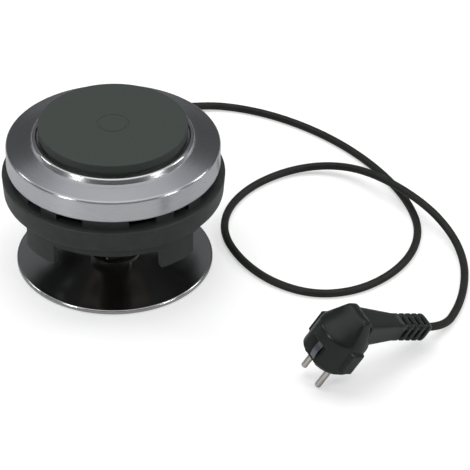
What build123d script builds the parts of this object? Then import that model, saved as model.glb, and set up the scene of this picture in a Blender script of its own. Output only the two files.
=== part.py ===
from build123d import *
import os
from math import cos, pi, radians, tan

# Electric hot plate burner, in millimetres: +Z up, origin on the floor under the burner's axis,
# +Y towards the cord gland at the back. Sizes are stacked from the floor up and from the middle out.

# Clearances shared by all pieces
running_clearance = 0.3
hole_clearance = 0.15
screw_tip_gap = 0.5
bend_inside = 0.8

# Screws used in several places
small_screw_shank = 1.75
small_screw_head = 3.4
small_screw_head_height = 2.0

# Base disc, a polished pressing on a rubber foot ring
disc_radius = 73.4
disc_sheet = 2.0
disc_crown = 3.0
disc_brim_width = 13.0
disc_edge_roll = 1.4
disc_edge_lift = 0.8
disc_seat_margin = 1.5
foot_height = 2.0
foot_width = 7.0
foot_inset = 3.4

# Height nut, captive on the disc, and the screwed stem that it raises
stem_thread_radius = 10.0
stem_end_lift = 2.6
stem_shoulder_width = 2.0
stem_shoulder_gap = 0.3
stem_column_height = 30.2
stem_spigot_inset = 2.0
stem_flange_thickness = 4.0
stem_flange_margin = 2.7
nut_neck_wall = 2.7
nut_neck_below_sheet = 2.6
nut_flange = 2.75
nut_gap = 0.1
nut_rest_turn = -11.4
nut_height = 16.0
nut_corner_chamfer = 1.8
nut_corner_slope = 30.0
washer_thickness = 1.2
washer_margin = 1.3
clip_thickness = 1.1
clip_groove_depth = 1.2
clip_height = 3.0
clip_gap_angle = 40.0
clip_sheet_gap = 0.2

# Screws and nuts that hold the stem's flange to the bottom pan
stem_screw_shank = 2.5
stem_screw_head = 4.3
stem_screw_head_height = 3.0
stem_screw_setback = 8.0
stem_screw_count = 4
stem_screw_excess = 1.0
stem_nut_across_flats = 8.0
stem_nut_height = 4.0
pan_sheet = 1.2
pan_fit = 0.3
pan_screw_count = 4
pan_screw_start = 45.0

# Moulded collar
collar_rim_radius = 82.5
collar_rim_round = 1.0
collar_band_inset = 1.1
collar_band_height = 14.6
collar_wall = 4.2
collar_shoulder_width = 8.8
collar_shoulder_drop = 6.5
collar_skirt_drop = 6.0
collar_skirt_wall = 5.0
collar_floor_drop = 4.5
collar_floor_thickness = 4.0
collar_floor_width = 11.6
collar_ledge_width = 11.5
tab_count = 4
tab_angle = 24.5
tab_start = 47.4
tab_length = 16.5
tab_edge_round = 0.8
upstand_count = 4
upstand_angle = 25.6
narrow_upstand_angle = 11.0
vent_angle = 15.8
upstand_thickness = 4.5
upstand_height = 7.0

# Cast-iron plate
plate_radius = 55.0
plate_side_height = 6.8
plate_edge_round = 1.3
plate_overhang = 2.7
plate_seat_depth = 3.2
plate_channel_inner = 13.0
plate_channel_lap = 1.2
plate_channel_depth = 4.3
ring_mark_radius = 11.2
ring_mark_width = 2.0
ring_mark_depth = 0.35
bottom_cover_gap = 0.5
bottom_cover_sheet = 0.8

# Steel cover, spun from sheet
cover_sheet = 1.2
cover_overhang = 3.4
cover_skirt_height = 17.8
cover_corner_drop = 3.4
cover_corner_round = 2.2
cover_top_margin = 4.0
cover_top_round = 8.8
cover_hole_gap = 0.8
cover_hem_width = 6.0
cover_hem_round = 2.0

# Spill ring between cover and plate
spill_sheet = 0.8
spill_rise = 2.5
spill_grip = 2.0
spill_bead_gap = 2.0
spill_bead_width = 2.0
spill_bead_rise = 1.0
spill_foot_spread = 2.0

# Heating coil, a spiral of half circles in the plate's channel
coil_wire_radius = 1.5
coil_start_gap = 2.5
coil_half_turn_step = 4.0
coil_half_turns = 7
coil_fit = 0.1

# Centre stud, bridge and heat shield
stud_radius = 4.0
stud_screwed_in = 3.6
stud_excess = 3.9
stud_nut_across_flats = 13.0
stud_nut_height = 6.5
stud_washer_margin = 5.0
stud_washer_thickness = 1.6
bridge_sheet = 2.0
bridge_width = 22.0
bridge_height = 22.0
bridge_setback = 2.0
bridge_foot_length = 12.0
spacer_length = 11.0
spacer_wall = 3.0
shield_sheet = 0.8
shield_side_gap = 13.7
shield_rim_rise = 6.0
shield_corner_round = 2.0
shield_nut_height = 5.0

# Thermostat under the heat shield
thermostat_x = 30.0
thermostat_y = -22.0
thermostat_radius = 8.5
thermostat_cap_radius = 5.9
thermostat_cap_height = 2.0
thermostat_height = 8.0
thermostat_blade_pitch = 7.0
thermostat_flange_length = 26.0
thermostat_flange_width = 13.0
thermostat_flange_sheet = 0.8
thermostat_rivet_pitch = 19.0
rivet_radius = 1.4
rivet_head_radius = 2.6
rivet_head_height = 1.0

# Coil terminals, two pins in ceramic bushes under the plate
terminal_pin_radius = 1.2
terminal_pin_entry = 0.5
terminal_pin_excess = 10.0
terminal_pin_x = -22.0
terminal_pin_y = 18.0
bush_wall = 2.2
bush_length = 8.0
shield_terminal_gap = 2.1

# Terminal block and wiring
block_gap = 0.9
block_length = 36.0
block_width = 18.0
block_height = 15.0
block_corner_round = 2.0
block_pole_pitch = 11.0
block_screw_shank = 1.6
block_screw_head = 2.0
block_screw_head_height = 1.2
block_screw_row = 4.6
block_screw_depth = 3.5
lead_radius = 1.2
lead_fit = 0.7
lead_height_in_block = 8.0
lead_entry = 6.0
lead_bend = 3.5
core_radius = 0.75
core_pitch = 1.7
core_entry = 6.0
core_bend = 2.5
earth_screw_inset = 23.3
earth_screw_y = 8.0
earth_screw_reach = 3.0

# Cord, its gland in the collar's back, and its tail under a saddle inside
cord_radius = 3.0
gland_rise = 5.4
gland_wall = 1.3
gland_lip = 0.9
gland_lip_thickness = 2.0
gland_lip_gap = 0.1
gland_flange = 3.1
gland_flange_thickness = 2.4
gland_seat_depth = 0.2
gland_seat_gap = 0.4
gland_sleeve_length = 26.0
gland_sleeve_root_wall = 2.6
gland_sleeve_tip_wall = 1.2
gland_rib_count = 4
gland_rib_pitch = 4.8
gland_rib_gap = 1.6
gland_rib_depth = 0.8
tail_excess = 2.0
clamp_setback = 9.0
clamp_width = 9.0
clamp_sheet = 1.5
clamp_ear = 11.0

# Plug, angled, on two round pins; it leans on its pins with the neck held by the cord
plug_face_centre = (165.7, -134.7, 20.3)
plug_pin_direction = (-0.508, -0.054, -0.860)
plug_neck_direction = (0.654, 0.626, -0.425)
pin_radius = 2.4
pin_tip_round = 1.6
pin_length = 19.0
pin_spacing = 19.0
pin_root = 9.0
plug_insert_margin = 1.0
plug_insert_depth = 4.0
plug_flat_wall = 1.1
plug_flat_width = 13.0
plug_flat_length = 18.0
plug_body_wall = 6.0
plug_front_bevel = 4.0
plug_body_depth = 27.0
plug_back_depth = 46.0
plug_back_width = 21.0
plug_back_length = 9.0
plug_back_lean = 1.5
plug_back_round = 3.0
plug_neck_offset = 32.3
plug_neck_start = 8.0
plug_neck_reach = 81.4
plug_neck_root_width = 24.0
plug_neck_root_depth = 21.0
plug_neck_waist_width = 15.6
plug_neck_waist_depth = 15.2
plug_neck_tip_width = 11.0
plug_neck_tip_taper = 5.0
plug_neck_round = 4.0
plug_boot_length = 37.0
plug_boot_slots = 4
plug_boot_slot_pitch = 6.9
plug_boot_slot_start = 8.5
plug_boot_slot_width = 3.2
plug_boot_post = 3.6
plug_boot_core_wall = 1.7
plug_grip_overhang = 3.0
plug_grip_start = 7.0
plug_grip_depth = 18.0
plug_grip_thickness = 14.0
plug_grip_round = 4.0
earth_clip_width = 5.0
earth_clip_thickness = 0.8
earth_clip_bulge = 1.6
earth_clip_start = 1.5

# Cord route from the gland to the plug's neck: out of the gland, down to the floor behind the burner,
# one loop on the floor with the second strand over the first, and up into the neck
floor_lie = cord_radius
cross_top = 5 * cord_radius
cord_first_run = 16.4
cord_last_run = 22.0
cord_bends = [
    (4, 150, 58),
    (11, 173, 39),
    (20, 192, 19),
    (36, 206, 6.5),
    (60, 212, floor_lie),
    (92, 206, floor_lie),
    (122, 193, floor_lie),
    (151, 174, floor_lie),
    (177, 150, floor_lie),
    (200, 121, floor_lie),
    (217, 90, floor_lie),
    (227, 56, floor_lie),
    (223, 22, floor_lie),
    (207, -8, floor_lie),
    (182, -30, floor_lie),
    (151, -37, floor_lie),
    (119, -24, floor_lie),
    (94, 2, floor_lie),
    (78, 35, floor_lie),
    (79, 70, floor_lie),
    (97, 104, floor_lie),
    (129, 128, 4),
    (164, 129, 8),
    (196, 105, cross_top),
    (231, 71, cross_top),
    (252, 46, 7),
    (262, 17, floor_lie),
    (263, -14, floor_lie),
    (259, -42, floor_lie),
]


def keep(piece, node):
    """Label a finished piece and write it to its own file."""
    piece.part.label = node
    export_step(piece.part, f"parts/{node}.step")


def arc_radii(points):
    """Radius of each bend of a cord: as large as the two runs beside it allow."""
    radii = []
    for before, bend, after in zip(points, points[1:], points[2:]):
        run_in = Vector(*bend) - Vector(*before)
        run_out = Vector(*after) - Vector(*bend)
        half_turn = radians(run_in.get_angle(run_out)) / 2
        radii.append(0.45 * min(run_in.length, run_out.length) / tan(half_turn))
    return radii


os.makedirs("parts", exist_ok=True)

# Radii worked out from the middle outwards
stem_column_radius = stem_thread_radius + stem_shoulder_width
stem_spigot_radius = stem_column_radius - stem_spigot_inset
stem_screw_circle = stem_column_radius + stem_screw_setback
stem_flange_radius = stem_screw_circle + stem_screw_head + stem_flange_margin
nut_neck_radius = stem_thread_radius + running_clearance + nut_neck_wall
nut_across_flats = (nut_neck_radius + nut_flange) * 2
nut_corner_radius = nut_across_flats / 2 / cos(radians(30))
washer_radius = nut_corner_radius + washer_margin
disc_hole_radius = nut_neck_radius + running_clearance
seat_radius = washer_radius + disc_seat_margin
brim_inner = disc_radius - disc_brim_width
collar_band_radius = collar_rim_radius - collar_band_inset
band_inner = collar_band_radius - collar_wall
collar_skirt_radius = collar_band_radius - collar_shoulder_width
skirt_inner = collar_skirt_radius - collar_skirt_wall
pan_radius = skirt_inner - pan_fit
collar_floor_opening = skirt_inner - collar_floor_width
collar_ledge_inner = collar_rim_radius - collar_ledge_width
pan_screw_circle = (collar_floor_opening + skirt_inner) / 2
upstand_outer = collar_ledge_inner + upstand_thickness
cover_skirt_radius = upstand_outer + cover_overhang
cover_top_radius = plate_radius + cover_top_margin
cover_hole_radius = plate_radius + cover_hole_gap
plate_seat_radius = plate_radius - plate_overhang
spill_inner_radius = plate_seat_radius - spill_grip
spill_bead_inner = plate_radius + spill_bead_gap
bottom_cover_radius = spill_inner_radius - bottom_cover_gap
plate_channel_outer = bottom_cover_radius - plate_channel_lap
coil_start_radius = plate_channel_inner + coil_wire_radius + coil_start_gap
shield_radius = cover_skirt_radius - cover_sheet - shield_side_gap
bridge_half_span = collar_floor_opening + bridge_setback
stud_hole = stud_radius + hole_clearance
stud_washer_radius = stud_radius + stud_washer_margin
spacer_radius = stud_radius + spacer_wall

# Heights worked out from the floor up
brim_top = foot_height + disc_sheet
seat_top = brim_top + disc_crown
seat_underside = seat_top - disc_sheet
nut_bottom = seat_top + washer_thickness + nut_gap
nut_top = nut_bottom + nut_height
neck_bottom = seat_underside - nut_neck_below_sheet
clip_top = seat_underside - clip_sheet_gap
clip_bottom = clip_top - clip_thickness
stem_shoulder = nut_top + stem_shoulder_gap
flange_underside = stem_shoulder + stem_column_height
pan_underside = flange_underside + stem_flange_thickness
pan_top = pan_underside + pan_sheet
floor_top = pan_top + collar_floor_thickness
collar_band_bottom = pan_top + collar_floor_drop
collar_rim_height = collar_band_bottom + collar_band_height
collar_skirt_bottom = collar_band_bottom - collar_shoulder_drop - collar_skirt_drop
ledge_underside = collar_rim_height - collar_wall
cover_bottom = collar_rim_height + upstand_height
cover_corner_height = cover_bottom + cover_skirt_height
cover_top_height = cover_corner_height + cover_corner_drop
spill_seat_height = cover_top_height + spill_rise
plate_edge_bottom = spill_seat_height + plate_seat_depth
plate_top_height = plate_edge_bottom + plate_side_height
channel_top = spill_seat_height + plate_channel_depth
bottom_cover_underside = spill_seat_height - bottom_cover_sheet
bridge_top = floor_top + bridge_height
bridge_underside = bridge_top - bridge_sheet
stud_washer_bottom = bridge_underside - stud_washer_thickness
stud_nut_bottom = stud_washer_bottom - stud_nut_height
stud_end_height = stud_nut_bottom - stud_excess
shield_height = bridge_top + spacer_length
shield_top = shield_height + shield_sheet
terminal_pin_bottom = bottom_cover_underside - bush_length - terminal_pin_excess
gland_height = floor_top + gland_rise

# Places of small pieces
thermostat_place = (thermostat_x, thermostat_y)
earth_screw_place = (earth_screw_inset - pan_radius, earth_screw_y)
terminal_pin_places = ((terminal_pin_x, terminal_pin_y), (terminal_pin_x, -terminal_pin_y))
clamp_place = collar_floor_opening + clamp_setback
saddle_half = cord_radius + hole_clearance
clamp_screw_offset = saddle_half + clamp_sheet + (clamp_ear - clamp_sheet) / 2
clamp_screw_places = ((clamp_screw_offset, clamp_place), (-clamp_screw_offset, clamp_place))
tail_end = clamp_place - clamp_width / 2 - tail_excess
gland_seat = collar_band_radius - gland_seat_depth
gland_body_radius = cord_radius + gland_wall
gland_lip_radius = gland_body_radius + gland_lip
gland_flange_radius = gland_body_radius + gland_flange

# Base: foot ring, disc and thrust washer
foot_outer = disc_radius - foot_inset
with BuildPart() as foot_ring:
    with BuildSketch():
        Circle(foot_outer)
        Circle(foot_outer - foot_width, mode=Mode.SUBTRACT)
    extrude(amount=foot_height)
keep(foot_ring, "foot_ring")

edge_top = brim_top - disc_edge_roll
with BuildPart() as base_disc:
    with BuildSketch(Plane.XZ):
        with BuildLine():
            Line((disc_hole_radius, seat_top), (seat_radius, seat_top))
            Spline((seat_radius, seat_top), (brim_inner, brim_top), tangents=((1, 0), (1, 0)))
            Line((brim_inner, brim_top), (disc_radius - disc_edge_roll, brim_top))
            RadiusArc((disc_radius - disc_edge_roll, brim_top), (disc_radius, edge_top), disc_edge_roll)
            Line((disc_radius, edge_top), (disc_radius, disc_edge_lift))
            Line((disc_radius, disc_edge_lift), (disc_radius - disc_sheet, disc_edge_lift))
            Line((disc_radius - disc_sheet, disc_edge_lift), (disc_radius - disc_sheet, foot_height))
            Line((disc_radius - disc_sheet, foot_height), (brim_inner, foot_height))
            Spline((brim_inner, foot_height), (seat_radius, seat_underside), tangents=((-1, 0), (-1, 0)))
            Line((seat_radius, seat_underside), (disc_hole_radius, seat_underside))
            Line((disc_hole_radius, seat_underside), (disc_hole_radius, seat_top))
        make_face()
    revolve(axis=Axis.Z)
keep(base_disc, "base_disc")

with BuildPart() as thrust_washer:
    with BuildSketch(Plane.XY.offset(seat_top)):
        Circle(washer_radius)
        Circle(disc_hole_radius, mode=Mode.SUBTRACT)
    extrude(amount=washer_thickness)
keep(thrust_washer, "thrust_washer")

# Height nut: a hexagon with turned corners, on a neck that passes through the disc
corner_height = nut_corner_chamfer * tan(radians(nut_corner_slope))
clip_inner = nut_neck_radius - clip_groove_depth
with BuildPart() as height_nut:
    with BuildSketch(Plane.XY.offset(nut_bottom)):
        RegularPolygon(nut_across_flats / 2, 6, major_radius=False, rotation=nut_rest_turn)
    extrude(amount=nut_height)
    with BuildSketch(Plane.XZ):
        with BuildLine():
            Polyline(
                (0, nut_bottom),
                (nut_corner_radius - nut_corner_chamfer, nut_bottom),
                (nut_corner_radius, nut_bottom + corner_height),
                (nut_corner_radius, nut_top - corner_height),
                (nut_corner_radius - nut_corner_chamfer, nut_top),
                (0, nut_top),
                close=True,
            )
        make_face()
    revolve(axis=Axis.Z, mode=Mode.INTERSECT)
    with BuildSketch(Plane.XY.offset(neck_bottom)):
        Circle(nut_neck_radius)
    extrude(amount=nut_bottom - neck_bottom)
    with BuildSketch(Plane.XY.offset(clip_bottom)):
        Circle(nut_neck_radius)
        Circle(clip_inner, mode=Mode.SUBTRACT)
    extrude(amount=clip_thickness, mode=Mode.SUBTRACT)
    with BuildSketch(Plane.XY.offset(neck_bottom)):
        Circle(stem_thread_radius + running_clearance)
    extrude(amount=nut_top - neck_bottom, mode=Mode.SUBTRACT)
keep(height_nut, "height_nut")

clip_outer = clip_inner + clip_groove_depth + clip_height
with BuildPart() as retaining_ring:
    with BuildSketch(Plane.XY.offset(clip_bottom)):
        Circle(clip_outer)
        Circle(clip_inner, mode=Mode.SUBTRACT)
        gap_half = clip_outer * tan(radians(clip_gap_angle / 2))
        with BuildLine():
            Polyline((0, 0), (clip_outer * 2, gap_half * 2), (clip_outer * 2, -gap_half * 2), close=True)
        make_face(mode=Mode.SUBTRACT)
    extrude(amount=clip_thickness)
keep(retaining_ring, "retaining_ring")

# Stem: screwed end in the nut, column, and a spigot for the flange that carries the head
with BuildPart() as stem:
    with BuildSketch(Plane.XY.offset(stem_end_lift)):
        Circle(stem_thread_radius)
    extrude(amount=stem_shoulder - stem_end_lift)
    with BuildSketch(Plane.XY.offset(stem_shoulder)):
        Circle(stem_column_radius)
    extrude(amount=flange_underside - stem_shoulder)
    with BuildSketch(Plane.XY.offset(flange_underside)):
        Circle(stem_spigot_radius)
    extrude(amount=stem_flange_thickness)
keep(stem, "stem")

with BuildPart() as stem_flange:
    with BuildSketch(Plane.XY.offset(flange_underside)):
        Circle(stem_flange_radius)
        Circle(stem_spigot_radius + hole_clearance, mode=Mode.SUBTRACT)
        with PolarLocations(stem_screw_circle, stem_screw_count):
            Circle(stem_screw_shank + hole_clearance, mode=Mode.SUBTRACT)
    extrude(amount=stem_flange_thickness)
keep(stem_flange, "stem_flange")

stem_screw_top = pan_top + stem_nut_height + stem_screw_excess
with BuildPart() as stem_screws:
    with BuildSketch(Plane.XY.offset(flange_underside)):
        with PolarLocations(stem_screw_circle, stem_screw_count):
            Circle(stem_screw_head)
    extrude(amount=-stem_screw_head_height)
    with BuildSketch(Plane.XY.offset(flange_underside)):
        with PolarLocations(stem_screw_circle, stem_screw_count):
            Circle(stem_screw_shank)
    extrude(amount=stem_screw_top - flange_underside)
keep(stem_screws, "stem_screws")

with BuildPart() as stem_nuts:
    with BuildSketch(Plane.XY.offset(pan_top)):
        with PolarLocations(stem_screw_circle, stem_screw_count):
            RegularPolygon(stem_nut_across_flats / 2, 6, major_radius=False)
            Circle(stem_screw_shank + hole_clearance, mode=Mode.SUBTRACT)
    extrude(amount=stem_nut_height)
keep(stem_nuts, "stem_nuts")

# Bottom pan, closing the head from below
with BuildPart() as bottom_pan:
    with BuildSketch(Plane.XY.offset(pan_underside)):
        Circle(pan_radius)
        with PolarLocations(stem_screw_circle, stem_screw_count):
            Circle(stem_screw_shank + hole_clearance, mode=Mode.SUBTRACT)
        with PolarLocations(pan_screw_circle, pan_screw_count, start_angle=pan_screw_start):
            Circle(small_screw_shank + hole_clearance, mode=Mode.SUBTRACT)
        with Locations(earth_screw_place):
            Circle(small_screw_shank + hole_clearance, mode=Mode.SUBTRACT)
    extrude(amount=pan_sheet)
keep(bottom_pan, "bottom_pan")

pan_screw_reach = collar_floor_thickness - screw_tip_gap
with BuildPart() as pan_screws:
    with BuildSketch(Plane.XY.offset(pan_underside)):
        with PolarLocations(pan_screw_circle, pan_screw_count, start_angle=pan_screw_start):
            Circle(small_screw_head)
    extrude(amount=-small_screw_head_height)
    with BuildSketch(Plane.XY.offset(pan_underside)):
        with PolarLocations(pan_screw_circle, pan_screw_count, start_angle=pan_screw_start):
            Circle(small_screw_shank)
    extrude(amount=pan_sheet + pan_screw_reach)
keep(pan_screws, "pan_screws")

# Collar: a turned section with vent upstands above and tabs below
bridge_bend = bridge_sheet + bend_inside
bridge_screw_x = bridge_half_span + (bridge_foot_length + bridge_bend) / 2
bridge_screw_places = ((bridge_screw_x, 0), (-bridge_screw_x, 0))
rim_edge = collar_rim_radius - collar_rim_round
gland_plane = Plane(origin=(0, gland_seat, gland_height), x_dir=(1, 0, 0), z_dir=(0, 1, 0))
side_upstand = upstand_angle / 2 + vent_angle + narrow_upstand_angle / 2
upstand_spreads = []
for gap in range(upstand_count):
    middle = tab_start + 180 / upstand_count + 360 / upstand_count * gap
    upstand_spreads.append((middle, upstand_angle))
    upstand_spreads.append((middle - side_upstand, narrow_upstand_angle))
    upstand_spreads.append((middle + side_upstand, narrow_upstand_angle))
with BuildPart() as collar:
    with BuildSketch(Plane.XZ):
        with BuildLine():
            Line((collar_ledge_inner, collar_rim_height), (rim_edge, collar_rim_height))
            RadiusArc(
                (rim_edge, collar_rim_height),
                (collar_rim_radius, collar_rim_height - collar_rim_round),
                collar_rim_round,
            )
            Line(
                (collar_rim_radius, collar_rim_height - collar_rim_round),
                (collar_band_radius, collar_band_bottom),
            )
            shoulder = (collar_skirt_radius, collar_band_bottom - collar_shoulder_drop)
            Spline((collar_band_radius, collar_band_bottom), shoulder, tangents=((-0.1, -1), (-0.9, -0.45)))
            Polyline(
                shoulder,
                (collar_skirt_radius, collar_skirt_bottom),
                (skirt_inner, collar_skirt_bottom),
                (skirt_inner, pan_top),
                (collar_floor_opening, pan_top),
                (collar_floor_opening, floor_top),
                (band_inner, floor_top),
                (band_inner, ledge_underside),
                (collar_ledge_inner, ledge_underside),
                (collar_ledge_inner, collar_rim_height),
            )
        make_face()
    revolve(axis=Axis.Z)
    with BuildSketch(Plane.XY.offset(collar_rim_height)):
        for middle, spread in upstand_spreads:
            upstand_start = middle - spread / 2
            with BuildLine():
                outer_arc = CenterArc((0, 0), upstand_outer, upstand_start, spread)
                inner_arc = CenterArc((0, 0), collar_ledge_inner, upstand_start, spread)
                Line(outer_arc @ 0, inner_arc @ 0)
                Line(outer_arc @ 1, inner_arc @ 1)
            make_face()
    extrude(amount=upstand_height)
    with BuildSketch(Plane.XY.offset(collar_skirt_bottom)):
        for tab in range(tab_count):
            tab_edge = tab_start + 360 / tab_count * tab - tab_angle / 2
            with BuildLine():
                outer_arc = CenterArc((0, 0), collar_skirt_radius, tab_edge, tab_angle)
                inner_arc = CenterArc((0, 0), skirt_inner, tab_edge, tab_angle)
                Line(outer_arc @ 0, inner_arc @ 0)
                Line(outer_arc @ 1, inner_arc @ 1)
            make_face()
    extrude(amount=-tab_length)
    fillet(collar.edges().group_by(Axis.Z)[0], tab_edge_round)
    with BuildSketch(Plane.XY.offset(pan_top)):
        with PolarLocations(pan_screw_circle, pan_screw_count, start_angle=pan_screw_start):
            Circle(small_screw_shank + hole_clearance)
    extrude(amount=collar_floor_thickness, mode=Mode.SUBTRACT)
    with BuildSketch(Plane.XY.offset(floor_top)):
        with Locations(*bridge_screw_places):
            Circle(small_screw_shank + hole_clearance)
    extrude(amount=-collar_floor_thickness, mode=Mode.SUBTRACT)
    with BuildSketch(Plane.XY.offset(floor_top)):
        with Locations(*clamp_screw_places):
            Circle(small_screw_shank + hole_clearance)
    extrude(amount=-collar_floor_thickness, mode=Mode.SUBTRACT)
    with BuildSketch(Plane.XY.offset(floor_top)):
        with Locations((0, clamp_place)):
            Rectangle(cord_radius * 2, clamp_width)
    extrude(amount=gland_height - cord_radius - floor_top)
    with BuildSketch(gland_plane):
        Circle(gland_flange_radius + gland_seat_gap)
    extrude(amount=gland_flange_thickness, mode=Mode.SUBTRACT)
    with BuildSketch(gland_plane):
        Circle(gland_body_radius + hole_clearance)
    extrude(amount=-collar_wall * 2, mode=Mode.SUBTRACT)
keep(collar, "collar")

# Steel cover: cone, rounded corner, skirt and a hem that rests on the upstands
with BuildPart() as steel_cover:
    with BuildSketch(Plane.XZ):
        with BuildLine():
            FilletPolyline(
                (cover_hole_radius, cover_top_height),
                (cover_top_radius, cover_top_height),
                (cover_skirt_radius, cover_corner_height),
                (cover_skirt_radius, cover_bottom),
                (cover_skirt_radius - cover_hem_width, cover_bottom),
                radius=[cover_top_round, cover_corner_round, cover_hem_round],
            )
            offset(amount=cover_sheet, side=Side.RIGHT)
        make_face()
    revolve(axis=Axis.Z)
keep(steel_cover, "steel_cover")

# Spill ring: a flange under the plate's seat, a bead, and a foot on the cover
cone_slope = cover_corner_drop / (cover_skirt_radius - cover_top_radius)
bead_outer = spill_bead_inner + spill_bead_width
bead_top = spill_seat_height + spill_bead_rise
foot_radius = bead_outer + spill_foot_spread
foot_level = cover_top_height - cone_slope * (foot_radius - cover_top_radius)
with BuildPart() as spill_ring:
    with BuildSketch(Plane.XZ):
        with BuildLine():
            Polyline(
                (spill_inner_radius, spill_seat_height),
                (spill_bead_inner - spill_bead_rise, spill_seat_height),
                (spill_bead_inner, bead_top),
                (bead_outer, bead_top),
                (foot_radius, foot_level),
                (foot_radius - spill_sheet, foot_level + cone_slope * spill_sheet),
                (bead_outer - spill_sheet, bead_top - spill_sheet),
                (spill_bead_inner + spill_sheet / 2, bead_top - spill_sheet),
                (spill_bead_inner - spill_bead_rise + spill_sheet / 2, spill_seat_height - spill_sheet),
                (spill_inner_radius, spill_seat_height - spill_sheet),
                close=True,
            )
        make_face()
    revolve(axis=Axis.Z)
keep(spill_ring, "spill_ring")

# Cast plate, with the channel for the coil below and a ring mark on top
with BuildPart() as hot_plate:
    with BuildSketch(Plane.XZ):
        with BuildLine():
            Polyline(
                (0, plate_top_height),
                (plate_radius, plate_top_height),
                (plate_radius, plate_edge_bottom),
                (plate_seat_radius, plate_edge_bottom),
                (plate_seat_radius, spill_seat_height),
                (plate_channel_outer, spill_seat_height),
                (plate_channel_outer, channel_top),
                (plate_channel_inner, channel_top),
                (plate_channel_inner, spill_seat_height),
                (0, spill_seat_height),
                close=True,
            )
        make_face()
    revolve(axis=Axis.Z)
    fillet(hot_plate.edges().group_by(Axis.Z)[-1], plate_edge_round)
    with BuildSketch(Plane.XY.offset(plate_top_height)):
        Circle(ring_mark_radius + ring_mark_width / 2)
        Circle(ring_mark_radius - ring_mark_width / 2, mode=Mode.SUBTRACT)
    extrude(amount=-ring_mark_depth, mode=Mode.SUBTRACT)
    with BuildSketch(Plane.XY.offset(spill_seat_height)):
        Circle(stud_hole)
    extrude(amount=stud_screwed_in + hole_clearance, mode=Mode.SUBTRACT)
keep(hot_plate, "hot_plate")

# Heating coil: half circles about two centres, so that each half turn is one step wider
coil_height = (spill_seat_height + channel_top) / 2
with BuildPart() as heating_coil:
    with BuildLine() as coil_path:
        for half_turn in range(coil_half_turns):
            centre = (coil_half_turn_step * (half_turn % 2), 0, coil_height)
            CenterArc(centre, coil_start_radius + half_turn * coil_half_turn_step, 180 * (half_turn % 2), 180)
    with BuildSketch(Plane(origin=coil_path.line @ 0, z_dir=coil_path.line % 0)):
        Circle(coil_wire_radius)
    sweep()
keep(heating_coil, "heating_coil")

with BuildPart() as insulating_compound:
    with BuildSketch(Plane.XY.offset(spill_seat_height)):
        Circle(plate_channel_outer)
        Circle(plate_channel_inner, mode=Mode.SUBTRACT)
    extrude(amount=plate_channel_depth)
    with BuildSketch(Plane(origin=coil_path.line @ 0, z_dir=coil_path.line % 0)):
        Circle(coil_wire_radius + coil_fit)
    sweep(path=coil_path.line, mode=Mode.SUBTRACT)
    with BuildSketch(Plane.XY.offset(spill_seat_height)):
        with Locations(*terminal_pin_places):
            Circle(terminal_pin_radius + hole_clearance)
    extrude(amount=terminal_pin_entry + hole_clearance, mode=Mode.SUBTRACT)
keep(insulating_compound, "insulating_compound")

with BuildPart() as plate_bottom_cover:
    with BuildSketch(Plane.XY.offset(bottom_cover_underside)):
        Circle(bottom_cover_radius)
        Circle(stud_hole, mode=Mode.SUBTRACT)
        with Locations(*terminal_pin_places):
            Circle(terminal_pin_radius + hole_clearance, mode=Mode.SUBTRACT)
    extrude(amount=bottom_cover_sheet)
keep(plate_bottom_cover, "plate_bottom_cover")

# Coil terminals and their bushes
pin_top = spill_seat_height + terminal_pin_entry
with BuildPart() as coil_terminals:
    with BuildSketch(Plane.XY.offset(terminal_pin_bottom)):
        with Locations(*terminal_pin_places):
            Circle(terminal_pin_radius)
    extrude(amount=pin_top - terminal_pin_bottom)
keep(coil_terminals, "coil_terminals")

with BuildPart() as terminal_bushes:
    with BuildSketch(Plane.XY.offset(bottom_cover_underside)):
        with Locations(*terminal_pin_places):
            Circle(terminal_pin_radius + bush_wall)
            Circle(terminal_pin_radius + hole_clearance, mode=Mode.SUBTRACT)
    extrude(amount=-bush_length)
keep(terminal_bushes, "terminal_bushes")

# Centre stud, which pulls plate and cover down on the bridge
with BuildPart() as plate_stud:
    with BuildSketch(Plane.XY.offset(stud_end_height)):
        Circle(stud_radius)
    extrude(amount=spill_seat_height + stud_screwed_in - stud_end_height)
keep(plate_stud, "plate_stud")

with BuildPart() as stud_nut:
    with BuildSketch(Plane.XY.offset(stud_nut_bottom)):
        RegularPolygon(stud_nut_across_flats / 2, 6, major_radius=False)
        Circle(stud_hole, mode=Mode.SUBTRACT)
    extrude(amount=stud_nut_height)
keep(stud_nut, "stud_nut")

with BuildPart() as stud_washer:
    with BuildSketch(Plane.XY.offset(stud_washer_bottom)):
        Circle(stud_washer_radius)
        Circle(stud_hole, mode=Mode.SUBTRACT)
    extrude(amount=stud_washer_thickness)
keep(stud_washer, "stud_washer")

bridge_end = bridge_half_span + bridge_foot_length
with BuildPart() as bridge:
    with BuildSketch(Plane.XZ.offset(-bridge_width / 2)):
        with BuildLine():
            FilletPolyline(
                (-bridge_end, floor_top),
                (-bridge_half_span, floor_top),
                (-bridge_half_span, bridge_underside),
                (bridge_half_span, bridge_underside),
                (bridge_half_span, floor_top),
                (bridge_end, floor_top),
                radius=bridge_bend,
            )
            offset(amount=bridge_sheet, side=Side.LEFT)
        make_face()
    extrude(amount=bridge_width)
    with BuildSketch(Plane.XY.offset(bridge_underside)):
        Circle(stud_hole)
    extrude(amount=bridge_sheet, mode=Mode.SUBTRACT)
    with BuildSketch(Plane.XY.offset(floor_top)):
        with Locations(*bridge_screw_places):
            Circle(small_screw_shank + hole_clearance)
    extrude(amount=bridge_sheet, mode=Mode.SUBTRACT)
keep(bridge, "bridge")

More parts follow.
